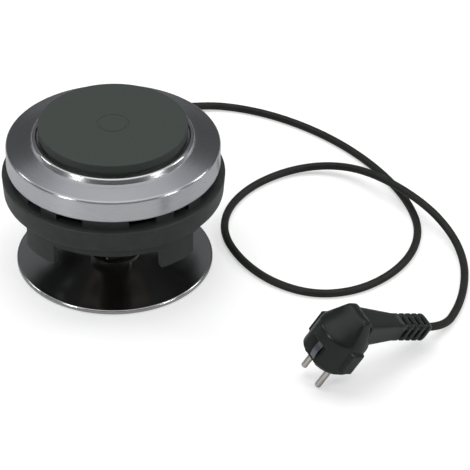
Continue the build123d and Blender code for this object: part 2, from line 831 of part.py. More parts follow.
with BuildPart() as bridge_screws:
    with BuildSketch(Plane.XY.offset(floor_top + bridge_sheet)):
        with Locations(*bridge_screw_places):
            Circle(small_screw_head)
    extrude(amount=small_screw_head_height)
    with BuildSketch(Plane.XY.offset(floor_top + bridge_sheet)):
        with Locations(*bridge_screw_places):
            Circle(small_screw_shank)
    extrude(amount=-(bridge_sheet + collar_floor_thickness - screw_tip_gap))
keep(bridge_screws, "bridge_screws")

# Heat shield on a spacer, held by a nut on the stud
with BuildPart() as shield_spacer:
    with BuildSketch(Plane.XY.offset(bridge_top)):
        Circle(spacer_radius)
        Circle(stud_hole, mode=Mode.SUBTRACT)
    extrude(amount=shield_height - bridge_top)
keep(shield_spacer, "shield_spacer")

rivet_places = [(thermostat_x + side * thermostat_rivet_pitch / 2, thermostat_y) for side in (-1, 1)]
with BuildPart() as heat_shield:
    with BuildSketch(Plane.XZ):
        with BuildLine():
            FilletPolyline(
                (stud_hole, shield_height),
                (shield_radius, shield_height),
                (shield_radius, shield_height + shield_rim_rise),
                radius=shield_corner_round,
            )
            offset(amount=shield_sheet, side=Side.LEFT)
        make_face()
    revolve(axis=Axis.Z)
    with BuildSketch(Plane.XY.offset(shield_height)):
        with Locations(*terminal_pin_places):
            Circle(terminal_pin_radius + bush_wall + shield_terminal_gap)
        with Locations(*rivet_places):
            Circle(rivet_radius + hole_clearance)
    extrude(amount=shield_sheet, mode=Mode.SUBTRACT)
keep(heat_shield, "heat_shield")

with BuildPart() as shield_nut:
    with BuildSketch(Plane.XY.offset(shield_top)):
        RegularPolygon(stud_nut_across_flats / 2, 6, major_radius=False)
        Circle(stud_hole, mode=Mode.SUBTRACT)
    extrude(amount=shield_nut_height)
keep(shield_nut, "shield_nut")

# Thermostat: a flange against the shield, a cap and a round body
flange_face = shield_height - thermostat_flange_sheet
cap_underside = flange_face - thermostat_cap_height
thermostat_underside = flange_face - thermostat_height
with BuildPart() as thermostat:
    with BuildSketch(Plane.XY.offset(shield_height)):
        with Locations(thermostat_place):
            SlotOverall(thermostat_flange_length, thermostat_flange_width)
        with Locations(*rivet_places):
            Circle(rivet_radius + hole_clearance, mode=Mode.SUBTRACT)
    extrude(amount=-thermostat_flange_sheet)
    with BuildSketch(Plane.XY.offset(flange_face)):
        with Locations(thermostat_place):
            Circle(thermostat_cap_radius)
    extrude(amount=-thermostat_cap_height)
    with BuildSketch(Plane.XY.offset(cap_underside)):
        with Locations(thermostat_place):
            Circle(thermostat_radius)
    extrude(amount=thermostat_underside - cap_underside)
keep(thermostat, "thermostat")

with BuildPart() as thermostat_rivets:
    with BuildSketch(Plane.XY.offset(shield_top)):
        with Locations(*rivet_places):
            Circle(rivet_head_radius)
    extrude(amount=rivet_head_height)
    with BuildSketch(Plane.XY.offset(shield_top)):
        with Locations(*rivet_places):
            Circle(rivet_radius)
    extrude(amount=flange_face - shield_top)
    with BuildSketch(Plane.XY.offset(flange_face)):
        with Locations(*rivet_places):
            Circle(rivet_head_radius)
    extrude(amount=-rivet_head_height)
keep(thermostat_rivets, "thermostat_rivets")

# Terminal block on the pan: three poles, each bored for its wires and tapped for two screws
block_top = pan_top + block_height
wire_height = pan_top + lead_height_in_block
pole_x = [pole * block_pole_pitch for pole in (-1, 0, 1)]
block_front = stem_screw_circle + stem_nut_across_flats / 2 / cos(radians(30)) + block_gap
block_back = block_front + block_width
block_middle = (block_front + block_back) / 2
screw_rows = [(x, block_middle + side * block_screw_row) for x in pole_x for side in (-1, 1)]
with BuildPart() as terminal_block:
    with BuildSketch(Plane.XY.offset(pan_top)):
        with Locations((0, block_middle)):
            RectangleRounded(block_length, block_width, block_corner_round)
    extrude(amount=block_height)
    with BuildSketch(Plane.XZ.offset(-block_front)):
        with Locations(*[(x, wire_height) for x in pole_x]):
            Circle(lead_radius + lead_fit)
    extrude(amount=-block_width, mode=Mode.SUBTRACT)
    with BuildSketch(Plane.XY.offset(block_top)):
        with Locations(*screw_rows):
            Circle(block_screw_head + hole_clearance)
    extrude(amount=-block_screw_depth, mode=Mode.SUBTRACT)
    with BuildSketch(Plane.XY.offset(block_top)):
        with Locations(*screw_rows):
            Circle(block_screw_shank + hole_clearance)
    extrude(amount=wire_height - block_top, mode=Mode.SUBTRACT)
keep(terminal_block, "terminal_block")

with BuildPart() as terminal_screws:
    with BuildSketch(Plane.XY.offset(block_top - block_screw_depth)):
        with Locations(*screw_rows):
            Circle(block_screw_head)
    extrude(amount=block_screw_head_height)
    with BuildSketch(Plane.XY.offset(block_top - block_screw_depth)):
        with Locations(*screw_rows):
            Circle(block_screw_shank)
    extrude(amount=wire_height + lead_radius - (block_top - block_screw_depth))
keep(terminal_screws, "terminal_screws")

# Cores of the cord, from the end of its tail to the back of the terminal block
with BuildPart() as supply_cores:
    for pole, x in zip((-1, 0, 1), pole_x):
        with BuildLine() as core_route:
            FilletPolyline(
                (pole * core_pitch, tail_end, gland_height),
                (pole * core_pitch, tail_end - core_bend, gland_height),
                (x, block_back + core_bend, wire_height),
                (x, block_back - core_entry, wire_height),
                radius=core_bend / 2,
            )
        with BuildSketch(Plane(origin=core_route.line @ 0, z_dir=core_route.line % 0)):
            Circle(core_radius)
        sweep(path=core_route.line)
keep(supply_cores, "supply_cores")

# Leads from the front of the block to the thermostat, the coil terminals and the earth screw
thermo_live = (thermostat_x + thermostat_blade_pitch / 2, thermostat_y)
thermo_switched = (thermostat_x - thermostat_blade_pitch / 2, thermostat_y)
under_bridge = bridge_underside - lead_bend
earth_top = pan_top + small_screw_head_height
lead_routes = {
    "live_lead": [
        (pole_x[2], block_front + lead_entry, wire_height),
        (pole_x[2], block_front - lead_bend * 2, wire_height),
        (thermo_live[0] - lead_bend * 3, 0, under_bridge - lead_bend),
        (*thermo_live, under_bridge),
        (*thermo_live, thermostat_underside),
    ],
    "neutral_lead": [
        (pole_x[1], block_front + lead_entry, wire_height),
        (pole_x[1], block_front - lead_bend, wire_height),
        (*terminal_pin_places[0], under_bridge),
        (*terminal_pin_places[0], terminal_pin_bottom),
    ],
    "switched_lead": [
        (*thermo_switched, thermostat_underside),
        (*thermo_switched, under_bridge),
        (0, thermostat_y - lead_bend, under_bridge - lead_bend),
        (*terminal_pin_places[1], under_bridge),
        (*terminal_pin_places[1], terminal_pin_bottom),
    ],
    "earth_lead": [
        (pole_x[0], block_front + lead_entry, wire_height),
        (pole_x[0], block_front - lead_bend, wire_height),
        (*earth_screw_place, wire_height),
        (*earth_screw_place, earth_top),
    ],
}
for lead_name, lead_route in lead_routes.items():
    with BuildPart() as lead:
        with BuildLine() as lead_path:
            FilletPolyline(*lead_route, radius=lead_bend)
        with BuildSketch(Plane(origin=lead_path.line @ 0, z_dir=lead_path.line % 0)):
            Circle(lead_radius)
        sweep()
    keep(lead, lead_name)

with BuildPart() as earth_screw:
    with BuildSketch(Plane.XY.offset(pan_top)):
        with Locations(earth_screw_place):
            Circle(small_screw_head)
    extrude(amount=small_screw_head_height)
    with BuildSketch(Plane.XY.offset(pan_top)):
        with Locations(earth_screw_place):
            Circle(small_screw_shank)
    extrude(amount=-(pan_sheet + earth_screw_reach))
keep(earth_screw, "earth_screw")

# Gland in the back of the collar: lip inside, body in the wall, flange and ribbed sleeve outside
lip_outer_face = (band_inner**2 - gland_lip_radius**2) ** 0.5 - gland_lip_gap
gland_inner_end = lip_outer_face - gland_lip_thickness
sleeve_start = gland_seat + gland_flange_thickness
sleeve_end = sleeve_start + gland_sleeve_length
sleeve_root = cord_radius + gland_sleeve_root_wall
sleeve_tip = cord_radius + gland_sleeve_tip_wall
rib_floor = sleeve_tip - gland_rib_depth
rib_gaps = [sleeve_start + gland_rib_pitch * (rib + 1) for rib in range(gland_rib_count)]
with BuildPart() as cord_gland:
    with BuildSketch(Plane.XY.offset(gland_height)):
        with BuildLine():
            Polyline(
                (0, gland_inner_end),
                (gland_lip_radius, gland_inner_end),
                (gland_lip_radius, lip_outer_face),
                (gland_body_radius, lip_outer_face),
                (gland_body_radius, gland_seat),
                (gland_flange_radius, gland_seat),
                (gland_flange_radius, sleeve_start),
                (sleeve_root, sleeve_start),
                (sleeve_tip, sleeve_end),
                (0, sleeve_end),
                close=True,
            )
        make_face()
        with Locations(*[(sleeve_root, gap) for gap in rib_gaps]):
            Rectangle((sleeve_root - rib_floor) * 2, gland_rib_gap, mode=Mode.SUBTRACT)
    revolve(axis=Axis((0, 0, gland_height), (0, 1, 0)))
keep(cord_gland, "cord_gland")

# Tail of the cord inside the collar, under a saddle on the collar's floor
with BuildPart() as cord_tail:
    with BuildSketch(Plane(origin=(0, tail_end, gland_height), z_dir=(0, 1, 0))):
        Circle(cord_radius)
    extrude(amount=gland_inner_end - tail_end)
keep(cord_tail, "cord_tail")

saddle_top = gland_height + cord_radius
with BuildPart() as cord_clamp:
    with BuildSketch(Plane.XZ.offset(-clamp_place - clamp_width / 2)):
        with BuildLine():
            FilletPolyline(
                (-saddle_half - clamp_ear, floor_top),
                (-saddle_half, floor_top),
                (-saddle_half, saddle_top),
                (saddle_half, saddle_top),
                (saddle_half, floor_top),
                (saddle_half + clamp_ear, floor_top),
                radius=clamp_sheet + bend_inside,
            )
            offset(amount=clamp_sheet, side=Side.LEFT)
        make_face()
    extrude(amount=clamp_width)
    with BuildSketch(Plane.XY.offset(floor_top)):
        with Locations(*clamp_screw_places):
            Circle(small_screw_shank + hole_clearance)
    extrude(amount=clamp_sheet, mode=Mode.SUBTRACT)
keep(cord_clamp, "cord_clamp")

with BuildPart() as clamp_screws:
    with BuildSketch(Plane.XY.offset(floor_top + clamp_sheet)):
        with Locations(*clamp_screw_places):
            Circle(small_screw_head)
    extrude(amount=small_screw_head_height)
    with BuildSketch(Plane.XY.offset(floor_top + clamp_sheet)):
        with Locations(*clamp_screw_places):
            Circle(small_screw_shank)
    extrude(amount=-(clamp_sheet + collar_floor_thickness - screw_tip_gap))
keep(clamp_screws, "clamp_screws")

# Plug frame: local Z along the pins, local X from pin to pin, local -Y along the neck
pin_axis = Vector(*plug_pin_direction).normalized()
neck_axis = Vector(*plug_neck_direction)
neck_axis = (neck_axis - pin_axis * neck_axis.dot(pin_axis)).normalized()
plug_frame = Plane(origin=plug_face_centre, x_dir=pin_axis.cross(neck_axis), z_dir=pin_axis)
neck_tip = plug_frame.from_local_coords(Vector(0, -plug_neck_reach, -plug_neck_offset))
neck_frame = Plane(origin=neck_tip, x_dir=plug_frame.x_dir, z_dir=neck_axis)
pin_places = ((-pin_spacing / 2, 0), (pin_spacing / 2, 0))
plug_insert_radius = pin_spacing / 2 + pin_radius + plug_insert_margin
plug_flat_offset = plug_insert_radius + plug_flat_wall
plug_body_radius = plug_flat_offset + plug_body_wall
grip_reach = plug_body_radius + plug_grip_overhang
post_length = plug_neck_root_width + plug_neck_root_depth

with BuildPart() as plug_body:
    with BuildSketch(plug_frame):
        Circle(plug_body_radius)
    extrude(amount=-plug_body_depth)
    chamfer(plug_body.edges().group_by(Axis((0, 0, 0), pin_axis))[-1], plug_front_bevel)
    with BuildSketch(plug_frame.offset(-plug_body_depth)):
        Circle(plug_body_radius)
    with BuildSketch(plug_frame.offset(-plug_back_depth)):
        with Locations((0, -plug_back_lean)):
            RectangleRounded(plug_back_width, plug_back_length, plug_back_round)
    loft()
    for side in (-1, 1):
        with BuildSketch(plug_frame.offset(-plug_grip_start)):
            with Locations((side * grip_reach / 2, 0)):
                RectangleRounded(grip_reach, plug_grip_thickness, plug_grip_round)
        extrude(amount=-plug_grip_depth)
    with BuildSketch(neck_frame.offset(plug_neck_start - plug_neck_reach)):
        RectangleRounded(plug_neck_root_width, plug_neck_root_depth, plug_neck_round)
    with BuildSketch(neck_frame.offset(-plug_boot_length)):
        RectangleRounded(plug_neck_waist_width, plug_neck_waist_depth, plug_neck_round)
    with BuildSketch(neck_frame.offset(-plug_neck_tip_taper)):
        RectangleRounded(plug_neck_waist_width, plug_neck_waist_depth, plug_neck_round)
    with BuildSketch(neck_frame):
        RectangleRounded(plug_neck_tip_width, plug_neck_tip_width, plug_neck_round)
    loft(ruled=True)
    for slot in range(plug_boot_slots):
        with BuildSketch(neck_frame.offset(-plug_boot_slot_start - plug_boot_slot_pitch * slot)):
            Rectangle(plug_neck_root_width, plug_neck_root_depth)
            for post_angle in (45, -45):
                Rectangle(post_length, plug_boot_post, rotation=post_angle, mode=Mode.SUBTRACT)
            Circle(cord_radius + plug_boot_core_wall, mode=Mode.SUBTRACT)
        extrude(amount=plug_boot_slot_width / 2, both=True, mode=Mode.SUBTRACT)
    with BuildSketch(plug_frame):
        Circle(plug_insert_radius)
    extrude(amount=-plug_insert_depth, mode=Mode.SUBTRACT)
    for side in (-1, 1):
        with BuildSketch(plug_frame):
            with Locations((0, side * (plug_flat_offset + plug_body_radius / 2))):
                Rectangle(plug_flat_width, plug_body_radius)
        extrude(amount=-plug_flat_length, mode=Mode.SUBTRACT)
    with BuildSketch(plug_frame):
        with Locations(*pin_places):
            Circle(pin_radius + hole_clearance)
    extrude(amount=-pin_root, mode=Mode.SUBTRACT)
keep(plug_body, "plug_body")

with BuildPart() as plug_insert:
    with BuildSketch(plug_frame):
        Circle(plug_insert_radius)
        with Locations(*pin_places):
            Circle(pin_radius + hole_clearance, mode=Mode.SUBTRACT)
    extrude(amount=-plug_insert_depth)
keep(plug_insert, "plug_insert")

with BuildPart() as plug_pins:
    with BuildSketch(plug_frame.offset(-pin_root)):
        with Locations(*pin_places):
            Circle(pin_radius)
    extrude(amount=pin_root + pin_length)
    pin_ends = plug_pins.faces().filter_by(GeomType.PLANE).group_by(Axis((0, 0, 0), pin_axis))[-1]
    fillet(pin_ends.edges(), pin_tip_round)
keep(plug_pins, "plug_pins")

clip_middle = -plug_flat_length / 2
clip_foot = earth_clip_thickness * 2
clip_front = -earth_clip_start
clip_rear = earth_clip_start - plug_flat_length
with BuildPart() as plug_earth_clips:
    for side in (-1, 1):
        clip_frame = Plane(
            origin=plug_frame.origin,
            x_dir=plug_frame.y_dir * side,
            z_dir=plug_frame.x_dir * side,
        )
        with BuildSketch(clip_frame.offset(-earth_clip_width / 2)):
            with BuildLine():
                ThreePointArc(
                    (plug_flat_offset, clip_front),
                    (plug_flat_offset + earth_clip_bulge, clip_middle),
                    (plug_flat_offset, clip_rear),
                )
                Line((plug_flat_offset, clip_rear), (plug_flat_offset, clip_rear + clip_foot))
                ThreePointArc(
                    (plug_flat_offset, clip_rear + clip_foot),
                    (plug_flat_offset + earth_clip_bulge - earth_clip_thickness, clip_middle),
                    (plug_flat_offset, clip_front - clip_foot),
                )
                Line((plug_flat_offset, clip_front - clip_foot), (plug_flat_offset, clip_front))
            make_face()
        extrude(amount=earth_clip_width)
keep(plug_earth_clips, "plug_earth_clips")

# Cord: straight runs joined by arcs as large as the runs allow
cord_points = [
    (0, sleeve_end, gland_height),
    (0, sleeve_end + cord_first_run, gland_height),
    *cord_bends,
    tuple(neck_tip + neck_axis * cord_last_run),
    tuple(neck_tip),
]
cord_radii = arc_radii(cord_points)
with BuildPart() as power_cord:
    with BuildLine() as cord_path:
        FilletPolyline(*cord_points, radius=cord_radii)
    with BuildSketch(Plane(origin=cord_path.line @ 0, z_dir=cord_path.line % 0)):
        Circle(cord_radius)
    sweep()
keep(power_cord, "power_cord")
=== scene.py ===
"""Electric hot plate burner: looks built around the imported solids, in metres, +Z up."""
import math

import bpy
import numpy as np
from mathutils import Matrix, Vector


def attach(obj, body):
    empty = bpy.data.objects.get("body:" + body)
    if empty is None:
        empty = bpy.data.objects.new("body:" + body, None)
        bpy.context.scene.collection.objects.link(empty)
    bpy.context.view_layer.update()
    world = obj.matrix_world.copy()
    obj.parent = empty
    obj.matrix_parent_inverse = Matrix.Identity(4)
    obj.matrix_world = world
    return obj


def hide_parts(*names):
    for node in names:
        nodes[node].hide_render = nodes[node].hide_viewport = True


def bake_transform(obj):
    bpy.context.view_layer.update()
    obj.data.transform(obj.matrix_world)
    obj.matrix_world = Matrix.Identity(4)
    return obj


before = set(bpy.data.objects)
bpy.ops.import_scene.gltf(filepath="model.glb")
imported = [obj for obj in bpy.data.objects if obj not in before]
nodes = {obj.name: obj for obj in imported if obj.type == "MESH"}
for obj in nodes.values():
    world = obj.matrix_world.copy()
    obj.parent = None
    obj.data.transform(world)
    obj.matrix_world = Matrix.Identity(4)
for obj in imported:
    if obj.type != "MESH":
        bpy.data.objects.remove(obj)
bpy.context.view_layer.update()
scene = bpy.context.scene
MM = 0.001
FINE_TURNS = 360


# Surfaces

def fillet_corners(corners, steps=6, support=0.3):
    """Outline through corners (r, z, radius): each corner becomes an arc of its radius, evenly stepped,
    with one more point just outside each end of the arc, so that flat runs stay flat when shaded. A corner
    gives steps + 2 points, and an open outline is cut from the result by leaving out its end corners' points."""
    points = np.array([corner[:2] for corner in corners], float)
    radii = np.array([corner[2] for corner in corners], float)
    to_last = np.roll(points, 1, axis=0) - points
    to_next = np.roll(points, -1, axis=0) - points
    to_last /= np.linalg.norm(to_last, axis=1, keepdims=True)
    to_next /= np.linalg.norm(to_next, axis=1, keepdims=True)
    half = np.arccos(np.clip((to_last * to_next).sum(1), -1, 1)) / 2
    reach = radii / np.tan(half)
    middle = to_last + to_next
    middle /= np.linalg.norm(middle, axis=1, keepdims=True)
    centre = points + middle * (radii / np.sin(half))[:, None]
    start = points + to_last * reach[:, None] - centre
    stop = points + to_next * reach[:, None] - centre
    sweep = math.pi - 2 * half
    share = np.linspace(0, 1, steps)[None, :, None]
    arcs = (np.sin((1 - share) * sweep[:, None, None]) * start[:, None]
            + np.sin(share * sweep[:, None, None]) * stop[:, None]) / np.sin(sweep)[:, None, None]
    arcs = arcs + centre[:, None]
    before = points + to_last * (reach + support)[:, None]
    after = points + to_next * (reach + support)[:, None]
    return np.concatenate([before[:, None], arcs, after[:, None]], axis=1).reshape(-1, 2)


def turned_rings(outline, turns=240):
    """Rings of a turned shape: each outline point (r, z) goes round the Z axis."""
    angle = np.linspace(0, 2 * math.pi, turns, endpoint=False)
    r, z = outline[:, :1], outline[:, 1:]
    return np.stack([r * np.cos(angle), r * np.sin(angle), z + 0 * angle], axis=-1)


def grid_faces(rows, columns, around_rows, around_columns):
    """Quads of a grid of points, joined at its ends where it goes round."""
    i = np.arange(rows if around_rows else rows - 1)[:, None]
    j = np.arange(columns if around_columns else columns - 1)[None, :]
    below, beside = (i + 1) % rows, (j + 1) % columns
    corners = [i * columns + j, below * columns + j, below * columns + beside, i * columns + beside]
    return np.stack(np.broadcast_arrays(*corners), axis=-1).reshape(-1, 4)


def shell(rings, around_rows=False, around_columns=True, caps=False):
    """Points and faces of one closed surface; caps close the first and last ring with a fan to its middle."""
    rows, columns = rings.shape[:2]
    points = rings.reshape(-1, 3)
    faces = [grid_faces(rows, columns, around_rows, around_columns)]
    if caps:
        points = np.concatenate([points, rings[:1].mean(1), rings[-1:].mean(1)])
        j = np.arange(columns)
        beside = (j + 1) % columns
        last = (rows - 1) * columns
        first_middle = 0 * j + rows * columns
        last_middle = first_middle + 1
        faces += [np.stack([j, beside, first_middle, first_middle], axis=-1),
                  np.stack([last + beside, last + j, last_middle, last_middle], axis=-1)]
    return points, np.concatenate(faces)


def join_shells(shells):
    """Several closed surfaces as one set of points and faces."""
    counts = np.cumsum([0] + [len(points) for points, _ in shells[:-1]])
    points = np.concatenate([points for points, _ in shells])
    faces = np.concatenate([faces + count for (_, faces), count in zip(shells, counts)])
    return points, faces


def piece(name, points, faces, material, body, slot, replaces=(), flip=False):
    """A smooth mesh object in metres from points in millimetres, riding on a body; a quad whose last corner
    repeats becomes a triangle, and flip turns every face round."""
    corners = np.ones(faces.shape, bool)
    corners[:, 3] = faces[:, 3] != faces[:, 2]
    if flip:
        faces, corners = faces[:, ::-1], corners[:, ::-1]
    loops = faces[corners]
    mesh = bpy.data.meshes.new(name)
    mesh.vertices.add(len(points))
    mesh.vertices.foreach_set("co", (points * MM).ravel())
    mesh.loops.add(len(loops))
    mesh.loops.foreach_set("vertex_index", loops)
    mesh.polygons.add(len(faces))
    mesh.polygons.foreach_set("loop_start", np.r_[0, np.cumsum(corners.sum(1))[:-1]])
    mesh.update(calc_edges=True)
    mesh.validate()
    mesh.shade_smooth()
    mesh.materials.append(material)
    made = bpy.data.objects.new(name, mesh)
    scene.collection.objects.link(made)
    if body:
        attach(made, body)
    if replaces:
        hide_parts(*replaces)
    return made


# Materials

def new_material(name, colour, rough, metallic=0.0):
    """A shader with its plain values on its own sockets, and the tools to add to it."""
    material = bpy.data.materials.new(name)
    material.use_nodes = True
    tree = material.node_tree
    shader = tree.nodes["Principled BSDF"]
    shader.inputs["Base Color"].default_value = (*colour, 1)
    shader.inputs["Roughness"].default_value = rough
    shader.inputs["Metallic"].default_value = metallic
    return material, tree, shader


def add_node(tree, kind, **values):
    """One node with its settings; values that name a socket set that socket."""
    made = tree.nodes.new(kind)
    for key, value in values.items():
        if key in made.inputs:
            made.inputs[key].default_value = value
        else:
            setattr(made, key, value)
    return made


def place(tree):
    """The piece's own coordinates."""
    return add_node(tree, "ShaderNodeTexCoord").outputs["Object"]


def grain(tree, scale, detail=3.0, vector=None, rough=0.5):
    """Fine noise over the piece's own coordinates."""
    noise = add_node(tree, "ShaderNodeTexNoise", Scale=scale, Detail=detail, Roughness=rough)
    tree.links.new(vector or place(tree), noise.inputs["Vector"])
    return noise.outputs["Fac"]


def spread(tree, value, low, high):
    """A value from 0 to 1 laid over a range."""
    made = add_node(tree, "ShaderNodeMapRange")
    made.inputs["To Min"].default_value = low
    made.inputs["To Max"].default_value = high
    tree.links.new(value, made.inputs["Value"])
    return made.outputs["Result"]


def two_tone(tree, value, dark, light, low=0.35, high=0.65):
    """A colour between two, led by a value."""
    ramp = add_node(tree, "ShaderNodeValToRGB")
    ramp.color_ramp.elements[0].position = low
    ramp.color_ramp.elements[1].position = high
    ramp.color_ramp.elements[0].color = (*dark, 1)
    ramp.color_ramp.elements[1].color = (*light, 1)
    tree.links.new(value, ramp.inputs["Fac"])
    return ramp.outputs["Color"]


def raise_surface(tree, shader, value, strength, distance):
    """Fine relief on the shader's normal."""
    bump = add_node(tree, "ShaderNodeBump", Strength=strength, Distance=distance)
    tree.links.new(value, bump.inputs["Height"])
    tree.links.new(bump.outputs["Normal"], shader.inputs["Normal"])


def around_axis(tree, per_metre, drift):
    """Coordinates of marks that run round the Z axis: fine across them and long along them."""
    split = add_node(tree, "ShaderNodeSeparateXYZ")
    tree.links.new(place(tree), split.inputs["Vector"])
    angle = add_node(tree, "ShaderNodeMath", operation="ARCTAN2")
    tree.links.new(split.outputs["Y"], angle.inputs[0])
    tree.links.new(split.outputs["X"], angle.inputs[1])
    flat = add_node(tree, "ShaderNodeCombineXYZ")
    tree.links.new(split.outputs["X"], flat.inputs["X"])
    tree.links.new(split.outputs["Y"], flat.inputs["Y"])
    radius = add_node(tree, "ShaderNodeVectorMath", operation="LENGTH")
    tree.links.new(flat.outputs["Vector"], radius.inputs[0])
    joined = add_node(tree, "ShaderNodeCombineXYZ")
    for source, socket, factor in ((radius.outputs["Value"], "X", per_metre),
                                   (split.outputs["Z"], "Y", per_metre),
                                   (angle.outputs["Value"], "Z", drift)):
        scaled = add_node(tree, "ShaderNodeMath", operation="MULTIPLY")
        scaled.inputs[1].default_value = factor
        tree.links.new(source, scaled.inputs[0])
        tree.links.new(scaled.outputs["Value"], joined.inputs[socket])
    return joined.outputs["Vector"]


def cast_iron():
    """Dark coating on cast iron: mottled grey, fine pits."""
    material, tree, shader = new_material("cast_iron_coat", (0.050, 0.058, 0.053), 0.55)
    shader.inputs["Specular IOR Level"].default_value = 0.3
    tone = two_tone(tree, grain(tree, 900, 4), (0.038, 0.046, 0.041), (0.043, 0.051, 0.046))
    tree.links.new(tone, shader.inputs["Base Color"])
    tree.links.new(spread(tree, grain(tree, 700), 0.46, 0.62), shader.inputs["Roughness"])
    raise_surface(tree, shader, grain(tree, 1500, 2), 0.25, 0.0002)
    return material


def brushed_steel(name, colour, low, high, anisotropy, marks=0.12):
    """Steel brushed round its axis: fine marks round the axis in roughness and relief."""
    material, tree, shader = new_material(name, colour, (low + high) / 2, 1.0)
    shader.inputs["Anisotropic"].default_value = anisotropy
    shader.inputs["Anisotropic Rotation"].default_value = 0.25
    tangent = add_node(tree, "ShaderNodeTangent", direction_type="RADIAL", axis="Z")
    tree.links.new(tangent.outputs["Tangent"], shader.inputs["Tangent"])
    lines = grain(tree, 1.0, 4, around_axis(tree, 2600, 1.3), 0.65)
    tree.links.new(spread(tree, lines, low, high), shader.inputs["Roughness"])
    raise_surface(tree, shader, lines, marks, 0.00004)
    return material


def polished_steel(name, colour, low, high):
    """Mirror steel with faint smears in its polish."""
    material, tree, shader = new_material(name, colour, (low + high) / 2, 1.0)
    tree.links.new(spread(tree, grain(tree, 30, 5), low, high), shader.inputs["Roughness"])
    return material


def plated_steel(name, colour, low, high):
    """Plated small parts: slightly uneven plating."""
    material, tree, shader = new_material(name, colour, (low + high) / 2, 1.0)
    tree.links.new(spread(tree, grain(tree, 240, 3), low, high), shader.inputs["Roughness"])
    raise_surface(tree, shader, grain(tree, 900, 2), 0.06, 0.0001)
    return material


def moulding(name, dark, light, low, high, pitch, relief, gloss=0.3):
    """Satin moulded plastic or rubber: slightly mottled, with a fine spark-eroded grain."""
    material, tree, shader = new_material(name, dark, (low + high) / 2)
    shader.inputs["Specular IOR Level"].default_value = gloss
    tree.links.new(two_tone(tree, grain(tree, 120, 4), dark, light), shader.inputs["Base Color"])
    tree.links.new(spread(tree, grain(tree, 500), low, high), shader.inputs["Roughness"])
    raise_surface(tree, shader, grain(tree, pitch, 2), relief, 0.0001)
    return material


CAST = cast_iron()
COVER_STEEL = brushed_steel("brushed_cover_steel", (0.60, 0.61, 0.63), 0.22, 0.36, 0.85, 0.2)
RING_STEEL = brushed_steel("bright_ring_steel", (0.80, 0.80, 0.81), 0.2, 0.3, 0.5, 0.05)
DISC_STEEL = polished_steel("polished_disc_steel", (0.66, 0.67, 0.66), 0.15, 0.24)
# painted shade: the height nut's steel colour is darkened to stand for the shade it sits in under the collar
SHADED_NUT_STEEL = plated_steel("nut_steel", (0.15, 0.14, 0.13), 0.25, 0.4)
# painted shade: the stem, its flange and the screws get a steel colour darkened to stand for the shade under the burner
SHADE_DARK_STEEL = plated_steel("steel_darkened_as_painted_shade", (0.10, 0.085, 0.075), 0.3, 0.45)
ZINC = plated_steel("zinc_plate", (0.58, 0.59, 0.60), 0.3, 0.45)
NICKEL = plated_steel("nickel_plate", (0.68, 0.65, 0.60), 0.14, 0.24)
CLIP_STEEL = plated_steel("clip_steel", (0.20, 0.21, 0.23), 0.3, 0.4)
BRASS = plated_steel("plain_brass", (0.70, 0.56, 0.28), 0.25, 0.4)
SHIELD_SHEET = plated_steel("shield_sheet", (0.72, 0.73, 0.74), 0.3, 0.45)
COIL_WIRE = plated_steel("coil_wire", (0.40, 0.38, 0.36), 0.4, 0.55)
COLLAR_BLACK = moulding("collar_black", (0.030, 0.035, 0.033), (0.037, 0.042, 0.040), 0.42, 0.55, 2600, 0.12)
CORD_BLACK = moulding("cord_black", (0.012, 0.0135, 0.0105), (0.017, 0.0185, 0.0155), 0.45, 0.6, 2200, 0.1)
PLUG_BLACK = moulding("plug_black", (0.008, 0.012, 0.010), (0.010, 0.014, 0.012), 0.28, 0.36, 2400, 0.06, 0.4)
# painted shade: the bottom pan is made near black to stand for the shade under the burner, which also darkens its
# reflection in the disc
PAN_SHADE_BLACK = moulding("pan_black_painted_shade", (0.012, 0.012, 0.012), (0.016, 0.016, 0.016), 0.5, 0.6, 1500, 0.1)
PLUG_FACE = moulding("plug_face", (0.05, 0.05, 0.05), (0.06, 0.06, 0.06), 0.4, 0.5, 2000, 0.06)
FOOT_RUBBER = moulding("foot_rubber", (0.035, 0.035, 0.035), (0.05, 0.05, 0.05), 0.7, 0.85, 1500, 0.2)
WASHER_BLACK = moulding("washer_black", (0.025, 0.025, 0.025), (0.032, 0.032, 0.032), 0.4, 0.5, 1500, 0.05)
CERAMIC = moulding("ceramic_white", (0.76, 0.74, 0.70), (0.82, 0.80, 0.76), 0.5, 0.65, 1600, 0.12)
CORE_GREY = moulding("core_grey", (0.28, 0.28, 0.28), (0.32, 0.32, 0.32), 0.4, 0.5, 1500, 0.05)
LEAD_BROWN = moulding("lead_brown", (0.20, 0.09, 0.035), (0.24, 0.11, 0.045), 0.4, 0.5, 1500, 0.05)
LEAD_BLUE = moulding("lead_blue", (0.045, 0.11, 0.32), (0.055, 0.13, 0.38), 0.4, 0.5, 1500, 0.05)
LEAD_GREEN = moulding("lead_green", (0.24, 0.40, 0.04), (0.55, 0.55, 0.05), 0.4, 0.5, 1500, 0.05)

